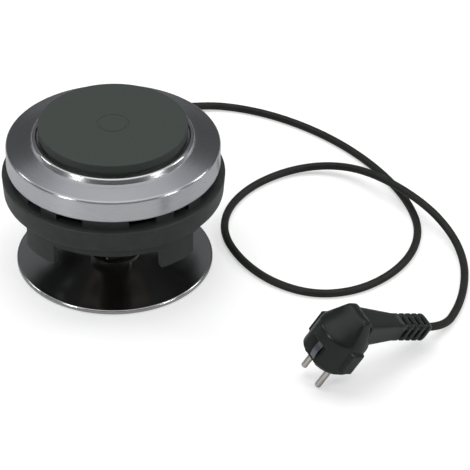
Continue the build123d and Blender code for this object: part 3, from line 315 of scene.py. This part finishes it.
finishes = {
    CAST: ["hot_plate"],
    COVER_STEEL: ["steel_cover"],
    RING_STEEL: ["spill_ring"],
    DISC_STEEL: ["base_disc"],
    # painted shade: the height nut takes steel darkened to stand for its shade under the collar
    SHADED_NUT_STEEL: ["height_nut"],
    COLLAR_BLACK: ["collar"],
    FOOT_RUBBER: ["foot_ring"],
    WASHER_BLACK: ["thrust_washer"],
    # painted shade: the stem parts and the bottom pan below are darkened to stand for the shade under the burner
    SHADE_DARK_STEEL: ["stem", "stem_flange", "stem_screws", "pan_screws"],
    PAN_SHADE_BLACK: ["bottom_pan"],
    ZINC: ["retaining_ring", "stem_nuts", "plate_stud", "stud_nut", "stud_washer", "bridge", "bridge_screws",
           "shield_spacer", "shield_nut", "thermostat_rivets", "earth_screw", "cord_clamp", "clamp_screws",
           "plate_bottom_cover"],
    COIL_WIRE: ["heating_coil", "coil_terminals"],
    CERAMIC: ["insulating_compound", "terminal_bushes", "thermostat", "terminal_block"],
    SHIELD_SHEET: ["heat_shield"],
    BRASS: ["terminal_screws"],
    CORE_GREY: ["supply_cores"],
    LEAD_BROWN: ["live_lead", "switched_lead"],
    LEAD_BLUE: ["neutral_lead"],
    LEAD_GREEN: ["earth_lead"],
    CORD_BLACK: ["cord_tail", "cord_gland", "power_cord"],
    PLUG_BLACK: ["plug_body"],
    PLUG_FACE: ["plug_insert"],
    NICKEL: ["plug_pins"],
    CLIP_STEEL: ["plug_earth_clips"],
}
for finish, names in finishes.items():
    for name in names:
        nodes[name].data.materials.clear()
        nodes[name].data.materials.append(finish)


# Cast plate: an outline with the ring mark above and the coil's channel below, turned round Z
plate_outline = fillet_corners([
    (0.3, 113.4, 0.05), (4.15, 113.4, 0.05), (4.15, 109.8, 0.1), (13, 109.8, 0.2), (13, 114.1, 0.2), (48.6, 114.1, 0.2),
    (48.6, 109.8, 0.2), (52.3, 109.8, 0.3), (52.3, 113.0, 0.2), (55, 113.0, 0.4), (55, 119.8, 1.3),
    (12.2, 119.8, 0.12), (12.1, 119.45, 0.08), (10.3, 119.45, 0.08), (10.2, 119.8, 0.12),
    (0.3, 119.8, 0.05)], support=0.05)[8:-8]
piece("cast_plate", *shell(turned_rings(plate_outline), caps=True), CAST, "head", "cast_plate", ["hot_plate"],
      flip=True)

# Spill ring: an outline of flange, bead and foot on the cover, turned round Z
ring_outline = fillet_corners([
    (50.3, 109.8, 0.15), (56, 109.8, 0.4), (57, 110.8, 0.6), (59.2, 110.8, 1.9), (61, 106.97, 0.15),
    (60.2, 107.1, 0.15), (58.2, 110.0, 0.3), (57.4, 110.0, 0.3), (56.4, 109.0, 0.3), (50.3, 109.0, 0.15)],
    support=0.05)
piece("spill_bead", *shell(turned_rings(ring_outline), around_rows=True), RING_STEEL, "head", "bright_ring",
      ["spill_ring"])

# Steel cover: an outline of flat rim, cone, rounded corner, skirt and hem, turned round Z
cover_outline = fillet_corners([
    (55.8, 107.3, 0.3), (59.0, 107.3, 8.8), (78.9, 103.9, 2.2), (78.9, 86.1, 2.0), (72.9, 86.1, 0.3),
    (72.9, 87.3, 0.3), (77.7, 87.3, 0.8), (77.7, 102.9, 1.0), (59.0, 106.1, 7.6), (55.8, 106.1, 0.3)],
    steps=8, support=0.25)
piece("spun_cover", *shell(turned_rings(cover_outline, FINE_TURNS), around_rows=True), COVER_STEEL, "head",
      "brushed_cover", ["steel_cover"])

# Base disc: a crown that falls from seat to brim as a smooth step of the radius, a rolled edge, and the same line
# again one sheet lower, turned round Z
brim_inner, seat_radius, brim_top, seat_top, sheet = 60.4, 20.99, 4.0, 7.0, 2.0
crown = np.linspace(0, 1, 22)
crown_ease = crown * crown * (3 - 2 * crown)
upper = np.stack([seat_radius + (brim_inner - seat_radius) * crown,
                  seat_top + (brim_top - seat_top) * crown_ease], axis=1)
edge = fillet_corners([(66, 4.0, 0.5), (73.4, 4.0, 1.4), (73.4, 0.8, 0.3), (71.4, 0.8, 0.3),
                       (71.4, 2.0, 0.3), (66, 2.0, 0.5)], steps=8, support=0.25)[10:-10]
seat = fillet_corners([(13.3, 5.0, 0.2), (13.3, 7.0, 0.3), (18, 7.0, 0.2), (18, 5.0, 0.2)])[:16]
disc_outline = np.concatenate([seat, upper, edge, upper[::-1] - (0, sheet)])
piece("polished_disc", *shell(turned_rings(disc_outline, FINE_TURNS), around_rows=True), DISC_STEEL, "base",
      "polished_steel", ["base_disc"])

# Foot ring: a flat rectangle with softened corners, turned round Z
foot_outline = fillet_corners([(63, 0, 0.4), (63, 2, 0.2), (70, 2, 0.2), (70, 0, 0.4)])
piece("foot_pad", *shell(turned_rings(foot_outline), around_rows=True), FOOT_RUBBER, "base", "rubber_foot",
      ["foot_ring"])


# Collar: one turned section; each of its rows takes a share of the tabs' drop and of the upstands' rise, and both
# are steps of the angle
TAB_MIDDLE, TAB_WIDTH, TAB_DROP = 47.4, 24.5, 16.5
UPSTAND_MIDDLE, WIDE_UPSTAND, NARROW_UPSTAND, NARROW_SHIFT, UPSTAND_RISE = 92.4, 25.6, 11.0, 34.1, 7.0


def steps_round(spans, ease):
    """Angles in degrees and a share from 0 to 1 that is 1 inside each span (middle, width); ease lists the share
    against the distance in degrees past a span's edge."""
    angles, shares = [], []
    for middle, width in spans:
        past, share = np.array(ease).T
        angles += [middle - width / 2 + past, (middle + width / 2 - past)[::-1]]
        shares += [share, share[::-1]]
    angles = np.concatenate(angles) % 360
    shares = np.concatenate(shares)
    order = np.argsort(angles)
    return angles[order], shares[order]


edge_ease = [(-0.6, 0), (-0.25, 0), (-0.08, 0.006), (-0.02, 0.025), (0, 0.06), (0.008, 0.94), (0.05, 0.965),
             (0.18, 0.988), (0.4, 0.998), (0.65, 1), (1.0, 1)]
quarters = range(0, 360, 90)
tab_spans = [(TAB_MIDDLE + quarter, TAB_WIDTH) for quarter in quarters]
upstands = ((0, WIDE_UPSTAND), (-NARROW_SHIFT, NARROW_UPSTAND), (NARROW_SHIFT, NARROW_UPSTAND))
upstand_spans = [(UPSTAND_MIDDLE + quarter + shift, width) for quarter in quarters for shift, width in upstands]
tab_angles, tab_shares = steps_round(tab_spans, edge_ease)
up_angles, up_shares = steps_round(upstand_spans, edge_ease)
collar_angles = np.unique(np.concatenate([tab_angles, up_angles, np.arange(0, 360, 1.5)]))
tab_share = np.interp(collar_angles, tab_angles, tab_shares, period=360)
up_share = np.interp(collar_angles, up_angles, up_shares, period=360)
# The shoulder is a cubic curve between two points, each with the way that the curve leaves or meets it
bend = np.linspace(0, 1, 14)[:, None]
band_foot, band_way, skirt_top, skirt_way = np.array([(81.4, 64.5), (-1.2, -9.0), (72.6, 58.0), (-9.0, -4.5)])
shoulder = ((2 * bend**3 - 3 * bend**2 + 1) * band_foot + (bend**3 - 2 * bend**2 + bend) * band_way
            + (-2 * bend**3 + 3 * bend**2) * skirt_top + (bend**3 - bend**2) * skirt_way)
band = fillet_corners([(76, 79.1, 0.1), (82.5, 79.1, 1.0), (81.4, 64.5, 0.1)])[8:16]
inner = fillet_corners([(67.6, 50, 0.1), (67.6, 60, 0.3), (56, 60, 0.4), (56, 64, 0.4), (77.2, 64, 0.5),
                        (77.2, 74.9, 0.5), (71, 74.9, 0.4), (71, 79, 0.1)])[8:56]


def rows(points, tab=0.0, up=0.0):
    """Outline points (r, z) with the shares of the tab's drop and the upstand's rise that each takes."""
    points = np.atleast_2d(np.array(points, float))
    return np.c_[points, np.full(len(points), tab), np.full(len(points), up)]


collar_rows = np.concatenate([
    rows(band), rows(shoulder), rows([(72.6, 57.3), (72.6, 53.1)]), rows([(72.6, 52.9)], 0.97),
    rows([(72.6, 52.6), (72.5, 52.25), (72.3, 52.08), (72.0, 52.0), (68.2, 52.0), (67.9, 52.08), (67.7, 52.25),
          (67.6, 52.6)], 1.0),
    rows([(67.6, 52.9)], 0.97), rows([(67.6, 53.1)]), rows(inner), rows([(71, 78.5)]), rows([(71, 78.6)], 0, 0.03),
    rows([(71, 78.8)], 0, 0.96), rows([(71.08, 79.0)], 0, 0.99),
    rows([(71.3, 79.1), (71.8, 79.1), (74.8, 79.1)], 0, 1.0),
    rows([(75.2, 79.1)], 0, 0.997), rows([(75.42, 79.1)], 0, 0.98), rows([(75.5, 79.1)], 0, 0.94),
    rows([(75.51, 79.1)], 0, 0.05), rows([(75.55, 79.1)], 0, 0.01), rows([(75.8, 79.1), (76.3, 79.1)])])
collar_turn = np.radians(collar_angles)
collar_rings = np.stack([collar_rows[:, :1] * np.cos(collar_turn), collar_rows[:, :1] * np.sin(collar_turn),
                         collar_rows[:, 1:2] - TAB_DROP * collar_rows[:, 2:3] * tab_share
                         + UPSTAND_RISE * collar_rows[:, 3:4] * up_share], axis=-1)
piece("vented_collar", *shell(collar_rings, around_rows=True), COLLAR_BLACK, "head", "black_moulding", ["collar"])


# Height nut: rings whose radius is the lesser of a hexagon's and a cone's, so that the corners are turned off, then
# a grooved neck and the bore
NUT_FLAT, NUT_TOP, NUT_FOOT = 15.75, 24.3, 8.3


def hexagon_radius(angle, flat, sharpness=70):
    """Distance to the rim of a hexagon with slightly worn corners, its flats at the given distance."""
    faces_at = np.radians(np.arange(6) * 60 - 11.4)[:, None]
    facing = np.clip(np.cos(angle[None] - faces_at), 0, 1)
    return flat / (facing**sharpness).sum(0) ** (1 / sharpness)


nut_angle = np.linspace(0, 2 * math.pi, FINE_TURNS, endpoint=False)
hexagon = hexagon_radius(nut_angle, NUT_FLAT)
chamfer = np.linspace(0, 1.04, 9)
corner_limit = 16.39 + chamfer * 1.8 / 1.04
nut_levels = np.r_[NUT_TOP - chamfer, 22.9, 16.3, 9.7, NUT_FOOT + chamfer[::-1]]
nut_limits = np.r_[corner_limit, 30, 30, 30, corner_limit[::-1]]
outer_rows = np.minimum(hexagon[None], nut_limits[:, None])
nut_neck = fillet_corners([
    (13.6, NUT_FOOT, 0.1), (13, NUT_FOOT, 0.3), (13, 4.8, 0.1), (11.8, 4.8, 0.1), (11.8, 3.7, 0.1), (13, 3.7, 0.1),
    (13, 2.4, 0.4), (10.25, 2.4, 0.4), (10.25, NUT_TOP, 0.6), (15.6, NUT_TOP, 0.1)], steps=4, support=0.1)[6:-6]
nut_radius = np.concatenate([outer_rows, np.repeat(nut_neck[:, :1], FINE_TURNS, axis=1)])
nut_height = np.r_[nut_levels, nut_neck[:, 1]][:, None] + 0 * nut_radius
nut_rings = np.stack([nut_radius * np.cos(nut_angle), nut_radius * np.sin(nut_angle), nut_height], axis=-1)
piece("hex_nut", *shell(nut_rings, around_rows=True), SHADED_NUT_STEEL, "nut", "nut_steel", ["height_nut"])

# Stem: a thread of one start, whose radius falls with the distance from a crest that climbs one pitch a turn and
# fades out at both ends, then the column and its spigot
THREAD_RADIUS, THREAD_DEPTH, THREAD_PITCH, THREAD_FOOT, THREAD_TOP, THREAD_FADE = 10, 1.3, 4.0, 3.4, 23.6, 1.5
thread_z = np.arange(THREAD_FOOT, THREAD_TOP + 0.2, 0.2)[:, None]
thread_angle = np.linspace(0, 2 * math.pi, 96, endpoint=False)[None]
wave = (thread_z / THREAD_PITCH - thread_angle / (2 * math.pi)) % 1
flank = np.clip(np.abs(wave - 0.5) * 4 - 0.4, 0, 1)
fade = (np.clip((thread_z - THREAD_FOOT) / THREAD_FADE, 0, 1)
        * np.clip((THREAD_TOP - thread_z) / THREAD_FADE, 0, 1))
thread_radius = THREAD_RADIUS - THREAD_DEPTH * flank * fade
stem_foot = np.array([(7.5, 2.6), (9.3, 2.6), (9.7, 2.8), (10, 3.2)])
stem_head = fillet_corners([(10, 23, 0.1), (10, 24.6, 0.2), (12, 24.6, 0.4), (12, 54.8, 0.2), (10, 54.8, 0.1),
                            (10, 58.8, 0.4), (7, 58.8, 0.2)], steps=5)[9:-9]
stem_radius = np.concatenate([stem_foot[:, :1] + 0 * thread_angle, thread_radius, stem_head[:, :1] + 0 * thread_angle])
stem_z = np.concatenate([stem_foot[:, 1:], thread_z, stem_head[:, 1:]]) + 0 * stem_radius
stem_rings = np.stack([stem_radius * np.cos(thread_angle), stem_radius * np.sin(thread_angle), stem_z], axis=-1)
piece("screwed_stem", *shell(stem_rings, caps=True), SHADE_DARK_STEEL, "head", "dark_steel", ["stem"], flip=True)

# Gland: an outline of lip, flange and ribs that grow thinner towards the cord, turned round an axis along Y
SLEEVE_START, SLEEVE_END, RIB_PITCH, RIB_GAP, RIB_FLOOR, CORD_HEIGHT = 83.6, 109.6, 4.8, 1.6, 3.45, 69.4
gland_corners = [(3.05, 76.93, 0.1), (5.2, 76.93, 0.4), (5.2, 78.2, 0.2), (4.3, 78.2, 0.1), (4.3, 81.2, 0.1),
                 (7.4, 81.2, 0.3), (7.4, SLEEVE_START, 0.7)]
for rib in range(1, 5):
    rib_end = SLEEVE_START + RIB_PITCH * rib
    rib_length = 3.19 if rib > 1 else 4.79
    outside = 5.6 - 1.4 * (rib_end - SLEEVE_START) / (SLEEVE_END - SLEEVE_START)
    gland_corners += [(outside, rib_end - rib_length, 0.25), (outside, rib_end, 0.35), (RIB_FLOOR, rib_end, 0.15),
                      (RIB_FLOOR, rib_end + RIB_GAP, 0.15)]
gland_corners += [(4.5, 104.45, 0.3), (4.2, SLEEVE_END, 0.6), (3.05, SLEEVE_END, 0.1)]
gland_outline = fillet_corners(gland_corners, steps=5, support=0.04)
gland_rings = turned_rings(gland_outline, 64)[..., [0, 2, 1]] + (0, 0, CORD_HEIGHT)
gland = piece("cord_sleeve", *shell(gland_rings, around_rows=True), CORD_BLACK, "head", "cord_rubber", ["cord_gland"])

# Plug: its own coordinates have Z along the pins
plug_face = np.array((165.7, -134.7, 20.3))
pin_way = np.array((-0.508, -0.054, -0.860))
pin_way /= np.linalg.norm(pin_way)
neck_way = np.array((0.654, 0.626, -0.425))
neck_way -= pin_way * (neck_way @ pin_way)
neck_way /= np.linalg.norm(neck_way)
plug_axes = np.stack([np.cross(pin_way, neck_way), -neck_way, pin_way])


def plug_place(x, y, z):
    """World points of plug coordinates: X from pin to pin, -Y along the neck, Z along the pins."""
    local = np.stack(np.broadcast_arrays(x, y, z), axis=-1)
    return plug_face + local @ plug_axes


def rise(value, start, width):
    """Smooth step from 0 to 1 that begins at start and takes the given width."""
    share = np.clip((value - start) / width, 0, 1)
    return share * share * (3 - 2 * share)


def squarish(across, upward, half_wide, half_deep, power):
    """Distance to the rim of a rounded rectangle, where the two shares of its half sizes, each raised to the power,
    add up to 1."""
    return ((across / half_wide) ** power + (upward / half_deep) ** power) ** (-1 / power)


# Plug body: rings square to the pins. A bevelled front round the seat, then a circle that goes over to a narrow ridge
# leaning towards the neck; grips stand out at both ends of the pins' line, and earth flats cut the two other sides
PLUG_RADIUS, TAPER_START, ROUND_START, PLUG_BACK, BACK_ROUND = 20, 26, 44, 46, 1.2
RIDGE_HALF_WIDE, RIDGE_HALF_DEEP, RIDGE_LEAN = 10.5, 4.5, 1.5
GRIP_HALF_WIDE, GRIP_HALF_DEEP, GRIP_START, GRIP_END, GRIP_LIMIT = 22.6, 7, 6.9, 24.7, 4.2
FLAT_REACH, FLAT_END, FLAT_LIMIT, STEP_WIDTH = 14, 17.7, 9, 0.5
plug_angle = np.radians(np.arange(0, 360, 1.0))[None]
across, upward = np.abs(np.cos(plug_angle)), np.abs(np.sin(plug_angle))
on_flat = rise(upward, 0.915, 0.015)


def past_flat(radius):
    """How far a radius stands past the earth flats."""
    return np.clip(radius - FLAT_REACH / np.maximum(upward, 0.5), 0, FLAT_LIMIT)


plug_depth = np.array([
    4.0, 4.3, 5, 6, 6.8, 7, 7.2, 7.5, 8.5, 10, 12, 14, 16, 17.5, 17.8, 18.0, 18.2, 19, 21, 23, 24.5, 24.8, 25, 25.2, 26,
    27, 28, 29.5, 31, 33, 35, 37, 39, 41, 43, ROUND_START, 44.8, 45.4, 45.8, PLUG_BACK])[:, None]
back_ridge = squarish(across, upward, RIDGE_HALF_WIDE, RIDGE_HALF_DEEP, 6)
taper = np.clip((plug_depth - TAPER_START) / (PLUG_BACK - TAPER_START), 0, 1)
taper = np.where(taper < 0.15, taper * taper / 0.3, taper - 0.075) / 0.925
rounding = np.clip((plug_depth - ROUND_START) / (PLUG_BACK - ROUND_START), 0, 1) ** 2.5
body_radius = PLUG_RADIUS + (back_ridge - PLUG_RADIUS) * taper - BACK_ROUND * rounding
grip_rim = squarish(across, upward, GRIP_HALF_WIDE, GRIP_HALF_DEEP, 8)
grip_share = rise(plug_depth, GRIP_START, STEP_WIDTH) * (1 - rise(plug_depth, GRIP_END, STEP_WIDTH))
body_radius = body_radius + grip_share * np.clip(grip_rim - PLUG_RADIUS, 0, GRIP_LIMIT)
flat_share = (1 - rise(plug_depth, FLAT_END, STEP_WIDTH)) * on_flat
body_radius = body_radius - flat_share * past_flat(body_radius)
front_radius = np.array([12.95, 12.95, 13.15, 13.6, 15.6, 16.0, 16.4])[:, None] + 0 * plug_angle
front_radius = front_radius - on_flat * past_flat(front_radius)
front_depth = np.array([4.0, 0.3, 0.05, 0, 0, 0.12, 0.4])[:, None]
plug_radius = np.concatenate([front_radius, body_radius])
plug_levels = np.concatenate([front_depth, plug_depth]) + 0 * plug_radius
back_lean = np.concatenate([0 * front_depth, RIDGE_LEAN * taper])
plug_rings = plug_place(plug_radius * np.cos(plug_angle), plug_radius * np.sin(plug_angle) - back_lean, -plug_levels)

# Neck: squarish rings along it, which narrow from the root to the boot and again to the tip; slots cut the boot to a
# round core, and at its corners only by a quarter of that
NECK_REACH, NECK_BACK, NECK_LENGTH, BOOT_LENGTH, TIP_LENGTH = 81.4, 32.3, 73.4, 37.0, 5.0
ROOT_HALF_WIDE, ROOT_HALF_DEEP, BOOT_HALF_WIDE, BOOT_HALF_DEEP, TIP_HALF = 12, 10.5, 7.8, 7.6, 5.5
SLOT_COUNT, SLOT_START, SLOT_PITCH, SLOT_HALF, SLOT_STEP, SLOT_CORE, CORNER_KEPT = 4, 8.5, 6.9, 1.75, 0.3, 5.0, 0.75
neck_angle = np.radians(np.arange(0, 360, 2.0))[None]
slot_middles = -SLOT_START - SLOT_PITCH * np.arange(SLOT_COUNT)
slot_edges = (slot_middles[:, None] + np.array((-1.9, -1.7, -1.55, -1.4, 1.4, 1.55, 1.7, 1.9))).ravel()
root_run = np.linspace(-NECK_LENGTH, -BOOT_LENGTH, 16)
neck_s = np.sort(np.r_[root_run, slot_edges, -5.2, -4.5, -3, -1.8, -0.9, -0.3, 0])[:, None]
waist_share = np.clip((neck_s + NECK_LENGTH) / (NECK_LENGTH - BOOT_LENGTH), 0, 1)
tip_share = np.clip((neck_s + TIP_LENGTH) / TIP_LENGTH, 0, 1) ** 1.6
half_wide = (ROOT_HALF_WIDE + (BOOT_HALF_WIDE - ROOT_HALF_WIDE) * waist_share
             + (TIP_HALF - BOOT_HALF_WIDE) * tip_share)
half_deep = (ROOT_HALF_DEEP + (BOOT_HALF_DEEP - ROOT_HALF_DEEP) * waist_share
             + (TIP_HALF - BOOT_HALF_DEEP) * tip_share)
neck_radius = squarish(np.abs(np.cos(neck_angle)), np.abs(np.sin(neck_angle)), half_wide, half_deep, 7)
in_slot = rise(-np.min(np.abs(neck_s - slot_middles), axis=1, keepdims=True), -SLOT_HALF, SLOT_STEP)
off_corner = 1 - CORNER_KEPT * rise(np.abs(np.sin(2 * neck_angle)), 0.80, 0.08)
neck_radius = neck_radius - in_slot * off_corner * (neck_radius - SLOT_CORE)
end_radius = np.array([4.2, 3.1])[:, None] + 0 * neck_angle
neck_radius = np.concatenate([neck_radius, end_radius])
neck_along = np.concatenate([neck_s, [[0.0], [0.0]]]) + 0 * neck_radius
neck_rings = plug_place(neck_radius * np.cos(neck_angle), -NECK_REACH - neck_along,
                        -NECK_BACK + neck_radius * np.sin(neck_angle))
plug_shells = [shell(plug_rings, caps=True), shell(neck_rings[:, ::-1], caps=True)]
plug = piece("angled_plug", *join_shells(plug_shells), PLUG_BLACK, "base", "plug_rubber", ["plug_body"])

# Pins: an outline of a straight run and a domed tip, turned round each pin's axis
PIN_SIDE, PIN_RADIUS, TIP_ROUND, TIP_MIDDLE = 9.5, 2.4, 1.6, 17.4
dome = np.linspace(0, 1.5, 8)
pin_run = [(2.3, -9.0)] + [(PIN_RADIUS, level) for level in (-8.8, -8, 0, 9, 16.8)]
pin_tip = np.c_[PIN_RADIUS - TIP_ROUND + TIP_ROUND * np.cos(dome), TIP_MIDDLE + TIP_ROUND * np.sin(dome)]
pin = turned_rings(np.concatenate([pin_run, pin_tip]), 48)
pin_shells = [shell(plug_place(pin[..., 0] + side, pin[..., 1], pin[..., 2]), caps=True)
              for side in (-PIN_SIDE, PIN_SIDE)]
pins = piece("round_pins", *join_shells(pin_shells), NICKEL, "base", "pin_nickel", ["plug_pins"], flip=True)


# Cord: one smooth line led by the route's points, and a round tube along it
neck_tip = plug_face + NECK_REACH * neck_way - NECK_BACK * pin_way
cord_route = np.array([
    (0, SLEEVE_END, CORD_HEIGHT), (0, 119, CORD_HEIGHT), (3, 142, 54), (9.5, 167, 33.5), (19, 188, 14.5), (36, 205, 5),
    (60, 212, 3), (92, 206, 3), (122, 193, 3), (151, 174, 3), (177, 150, 3), (200, 121, 3), (217, 90, 3), (227, 56, 3),
    (223, 22, 3), (207, -8, 3), (182, -30, 3), (151, -37, 3), (119, -24, 3), (94, 2, 3), (78, 35, 3), (79, 70, 3),
    (97, 104, 3), (129, 128, 4), (164, 129, 8), (196, 105, 15), (231, 71, 15), (252, 46, 7), (262, 17, 3),
    (263, -14, 3), (259, -42, 3), neck_tip + 22 * neck_way, neck_tip])
CORD_RADIUS = 3.0


def smooth_line(name, route, per_span):
    """Points in millimetres along a quadratic spline that has the route as its control points."""
    curve = bpy.data.curves.new(name, "CURVE")
    curve.dimensions = "3D"
    curve.resolution_u = per_span
    spline = curve.splines.new("NURBS")
    spline.points.add(len(route) - 1)
    spline.points.foreach_set("co", np.c_[route * MM, np.ones(len(route))].ravel())
    spline.order_u = 3
    spline.use_endpoint_u = True
    holder = bpy.data.objects.new(name, curve)
    scene.collection.objects.link(holder)
    line = bpy.data.meshes.new_from_object(holder.evaluated_get(bpy.context.evaluated_depsgraph_get()))
    points = np.zeros(len(line.vertices) * 3, np.float32)
    line.vertices.foreach_get("co", points)
    bpy.data.objects.remove(holder)
    bpy.data.curves.remove(curve)
    bpy.data.meshes.remove(line)
    return points.reshape(-1, 3).astype(float) / MM


def tube_rings(path, radius, turns=20):
    """Rings of a round tube: each path point carries a circle square to the path, spanned by a level side direction
    and the one square to it and to the path."""
    ahead = np.gradient(path, axis=0)
    ahead /= np.linalg.norm(ahead, axis=1, keepdims=True)
    side = np.cross(ahead, (0, 0, 1.0))
    side /= np.linalg.norm(side, axis=1, keepdims=True)
    up = np.cross(side, ahead)
    angle = np.linspace(0, 2 * math.pi, turns, endpoint=False)[None, :, None]
    return path[:, None] + radius * (np.cos(angle) * side[:, None] + np.sin(angle) * up[:, None])


cord_line = smooth_line("cord_line", cord_route, 14)
cord = piece("mains_cord", *shell(tube_rings(cord_line, CORD_RADIUS), caps=True), CORD_BLACK, None, "cord_rubber",
             ["power_cord"])
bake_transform(cord)


# Floor, world, lamps and camera
MIX_FIRST, MIX_SECOND, MIX_COLOUR = 6, 7, 2  # colour sockets of a Mix node


def camera_share(tree):
    """1 for what the camera sees directly, 0 for light and reflections."""
    return add_node(tree, "ShaderNodeLightPath").outputs["Is Camera Ray"]


world = bpy.data.worlds.new("studio")
scene.world = world
world.use_nodes = True
sky = world.node_tree
direction = add_node(sky, "ShaderNodeTexCoord").outputs["Generated"]
height = add_node(sky, "ShaderNodeSeparateXYZ")
sky.links.new(direction, height.inputs["Vector"])
ceiling = add_node(sky, "ShaderNodeValToRGB")
ceiling.color_ramp.elements[0].color = (0.055, 0.058, 0.06, 1)
ceiling.color_ramp.elements[1].color = (1, 1, 1, 1)
for position, level in ((0.60, 0.10), (0.72, 0.30), (0.84, 0.85)):
    ceiling.color_ramp.elements.new(position).color = (level, level, level * 1.04, 1)
sky.links.new(height.outputs["Z"], ceiling.inputs["Fac"])
shown = add_node(sky, "ShaderNodeMix", data_type="RGBA")
sky.links.new(camera_share(sky), shown.inputs["Factor"])
sky.links.new(ceiling.outputs["Color"], shown.inputs[MIX_FIRST])
shown.inputs[MIX_SECOND].default_value = (1, 1, 1, 1)
sky.links.new(shown.outputs[MIX_COLOUR], sky.nodes["Background"].inputs["Color"])

floor_material, floor_tree, floor_shader = new_material("pale_floor", (0.55, 0.55, 0.55), 0.95)
floor_shader.inputs["Specular IOR Level"].default_value = 0.0
floor_shader.inputs["Emission Color"].default_value = (1, 1, 1, 1)
far_out = add_node(floor_tree, "ShaderNodeVectorMath", operation="LENGTH")
floor_tree.links.new(place(floor_tree), far_out.inputs[0])
floor_glow = add_node(floor_tree, "ShaderNodeMapRange")
for limit, value in (("From Min", 0.7), ("From Max", 1.8), ("To Min", 0.5), ("To Max", 1.0)):
    floor_glow.inputs[limit].default_value = value
floor_tree.links.new(far_out.outputs["Value"], floor_glow.inputs["Value"])
shown_glow = add_node(floor_tree, "ShaderNodeMath", operation="MULTIPLY")
floor_tree.links.new(camera_share(floor_tree), shown_glow.inputs[0])
floor_tree.links.new(floor_glow.outputs["Result"], shown_glow.inputs[1])
floor_tree.links.new(shown_glow.outputs["Value"], floor_shader.inputs["Emission Strength"])
floor_mesh = bpy.data.meshes.new("studio_floor")
floor_mesh.from_pydata([(-4, -4, 0), (4, -4, 0), (4, 4, 0), (-4, 4, 0)], [], [(0, 1, 2, 3)])
floor_mesh.materials.append(floor_material)
floor = bpy.data.objects.new("studio_floor", floor_mesh)
scene.collection.objects.link(floor)


def lamp(name, size, power, at, towards=(0.05, 0.03, 0.06), mirrored=True):
    """A square soft lamp that faces the object."""
    light = bpy.data.lights.new(name, "AREA")
    light.size = size
    light.energy = power
    made = bpy.data.objects.new(name, light)
    made.location = at
    made.rotation_euler = (Vector(towards) - Vector(at)).to_track_quat("-Z", "Y").to_euler()
    made.visible_glossy = mirrored
    scene.collection.objects.link(made)


lamp("top_lamp", 1.6, 20, (-0.2, 0.4, 1.8), mirrored=False)
lamp("front_left_lamp", 0.35, 7.0, (-1.15, -1.25, 0.9))
lamp("front_right_lamp", 0.35, 7.0, (1.75, -0.75, 0.9))
lamp("left_lamp", 0.4, 3.0, (-1.5, 0.35, 1.15))
lamp("right_lamp", 0.4, 5.0, (1.5, 0.6, 1.15))

camera_data = bpy.data.cameras.new("camera")
camera_data.sensor_width = 36
camera_data.lens = 229.8
camera = bpy.data.objects.new("camera", camera_data)
right = np.array((0.99614, 0.08724, 0.00996))
down = np.array((0.05861, -0.57607, -0.81530))
ahead = np.array((-0.06539, 0.81273, -0.57895))
eye = (0.2366, -1.8174, 1.3212)
stand = np.eye(4)
stand[:3] = np.stack([right, -down, -ahead, eye], axis=1)
camera.matrix_world = Matrix(stand.tolist())
camera_data.clip_end = 20
scene.collection.objects.link(camera)
scene.camera = camera
scene.view_settings.view_transform = "Standard"
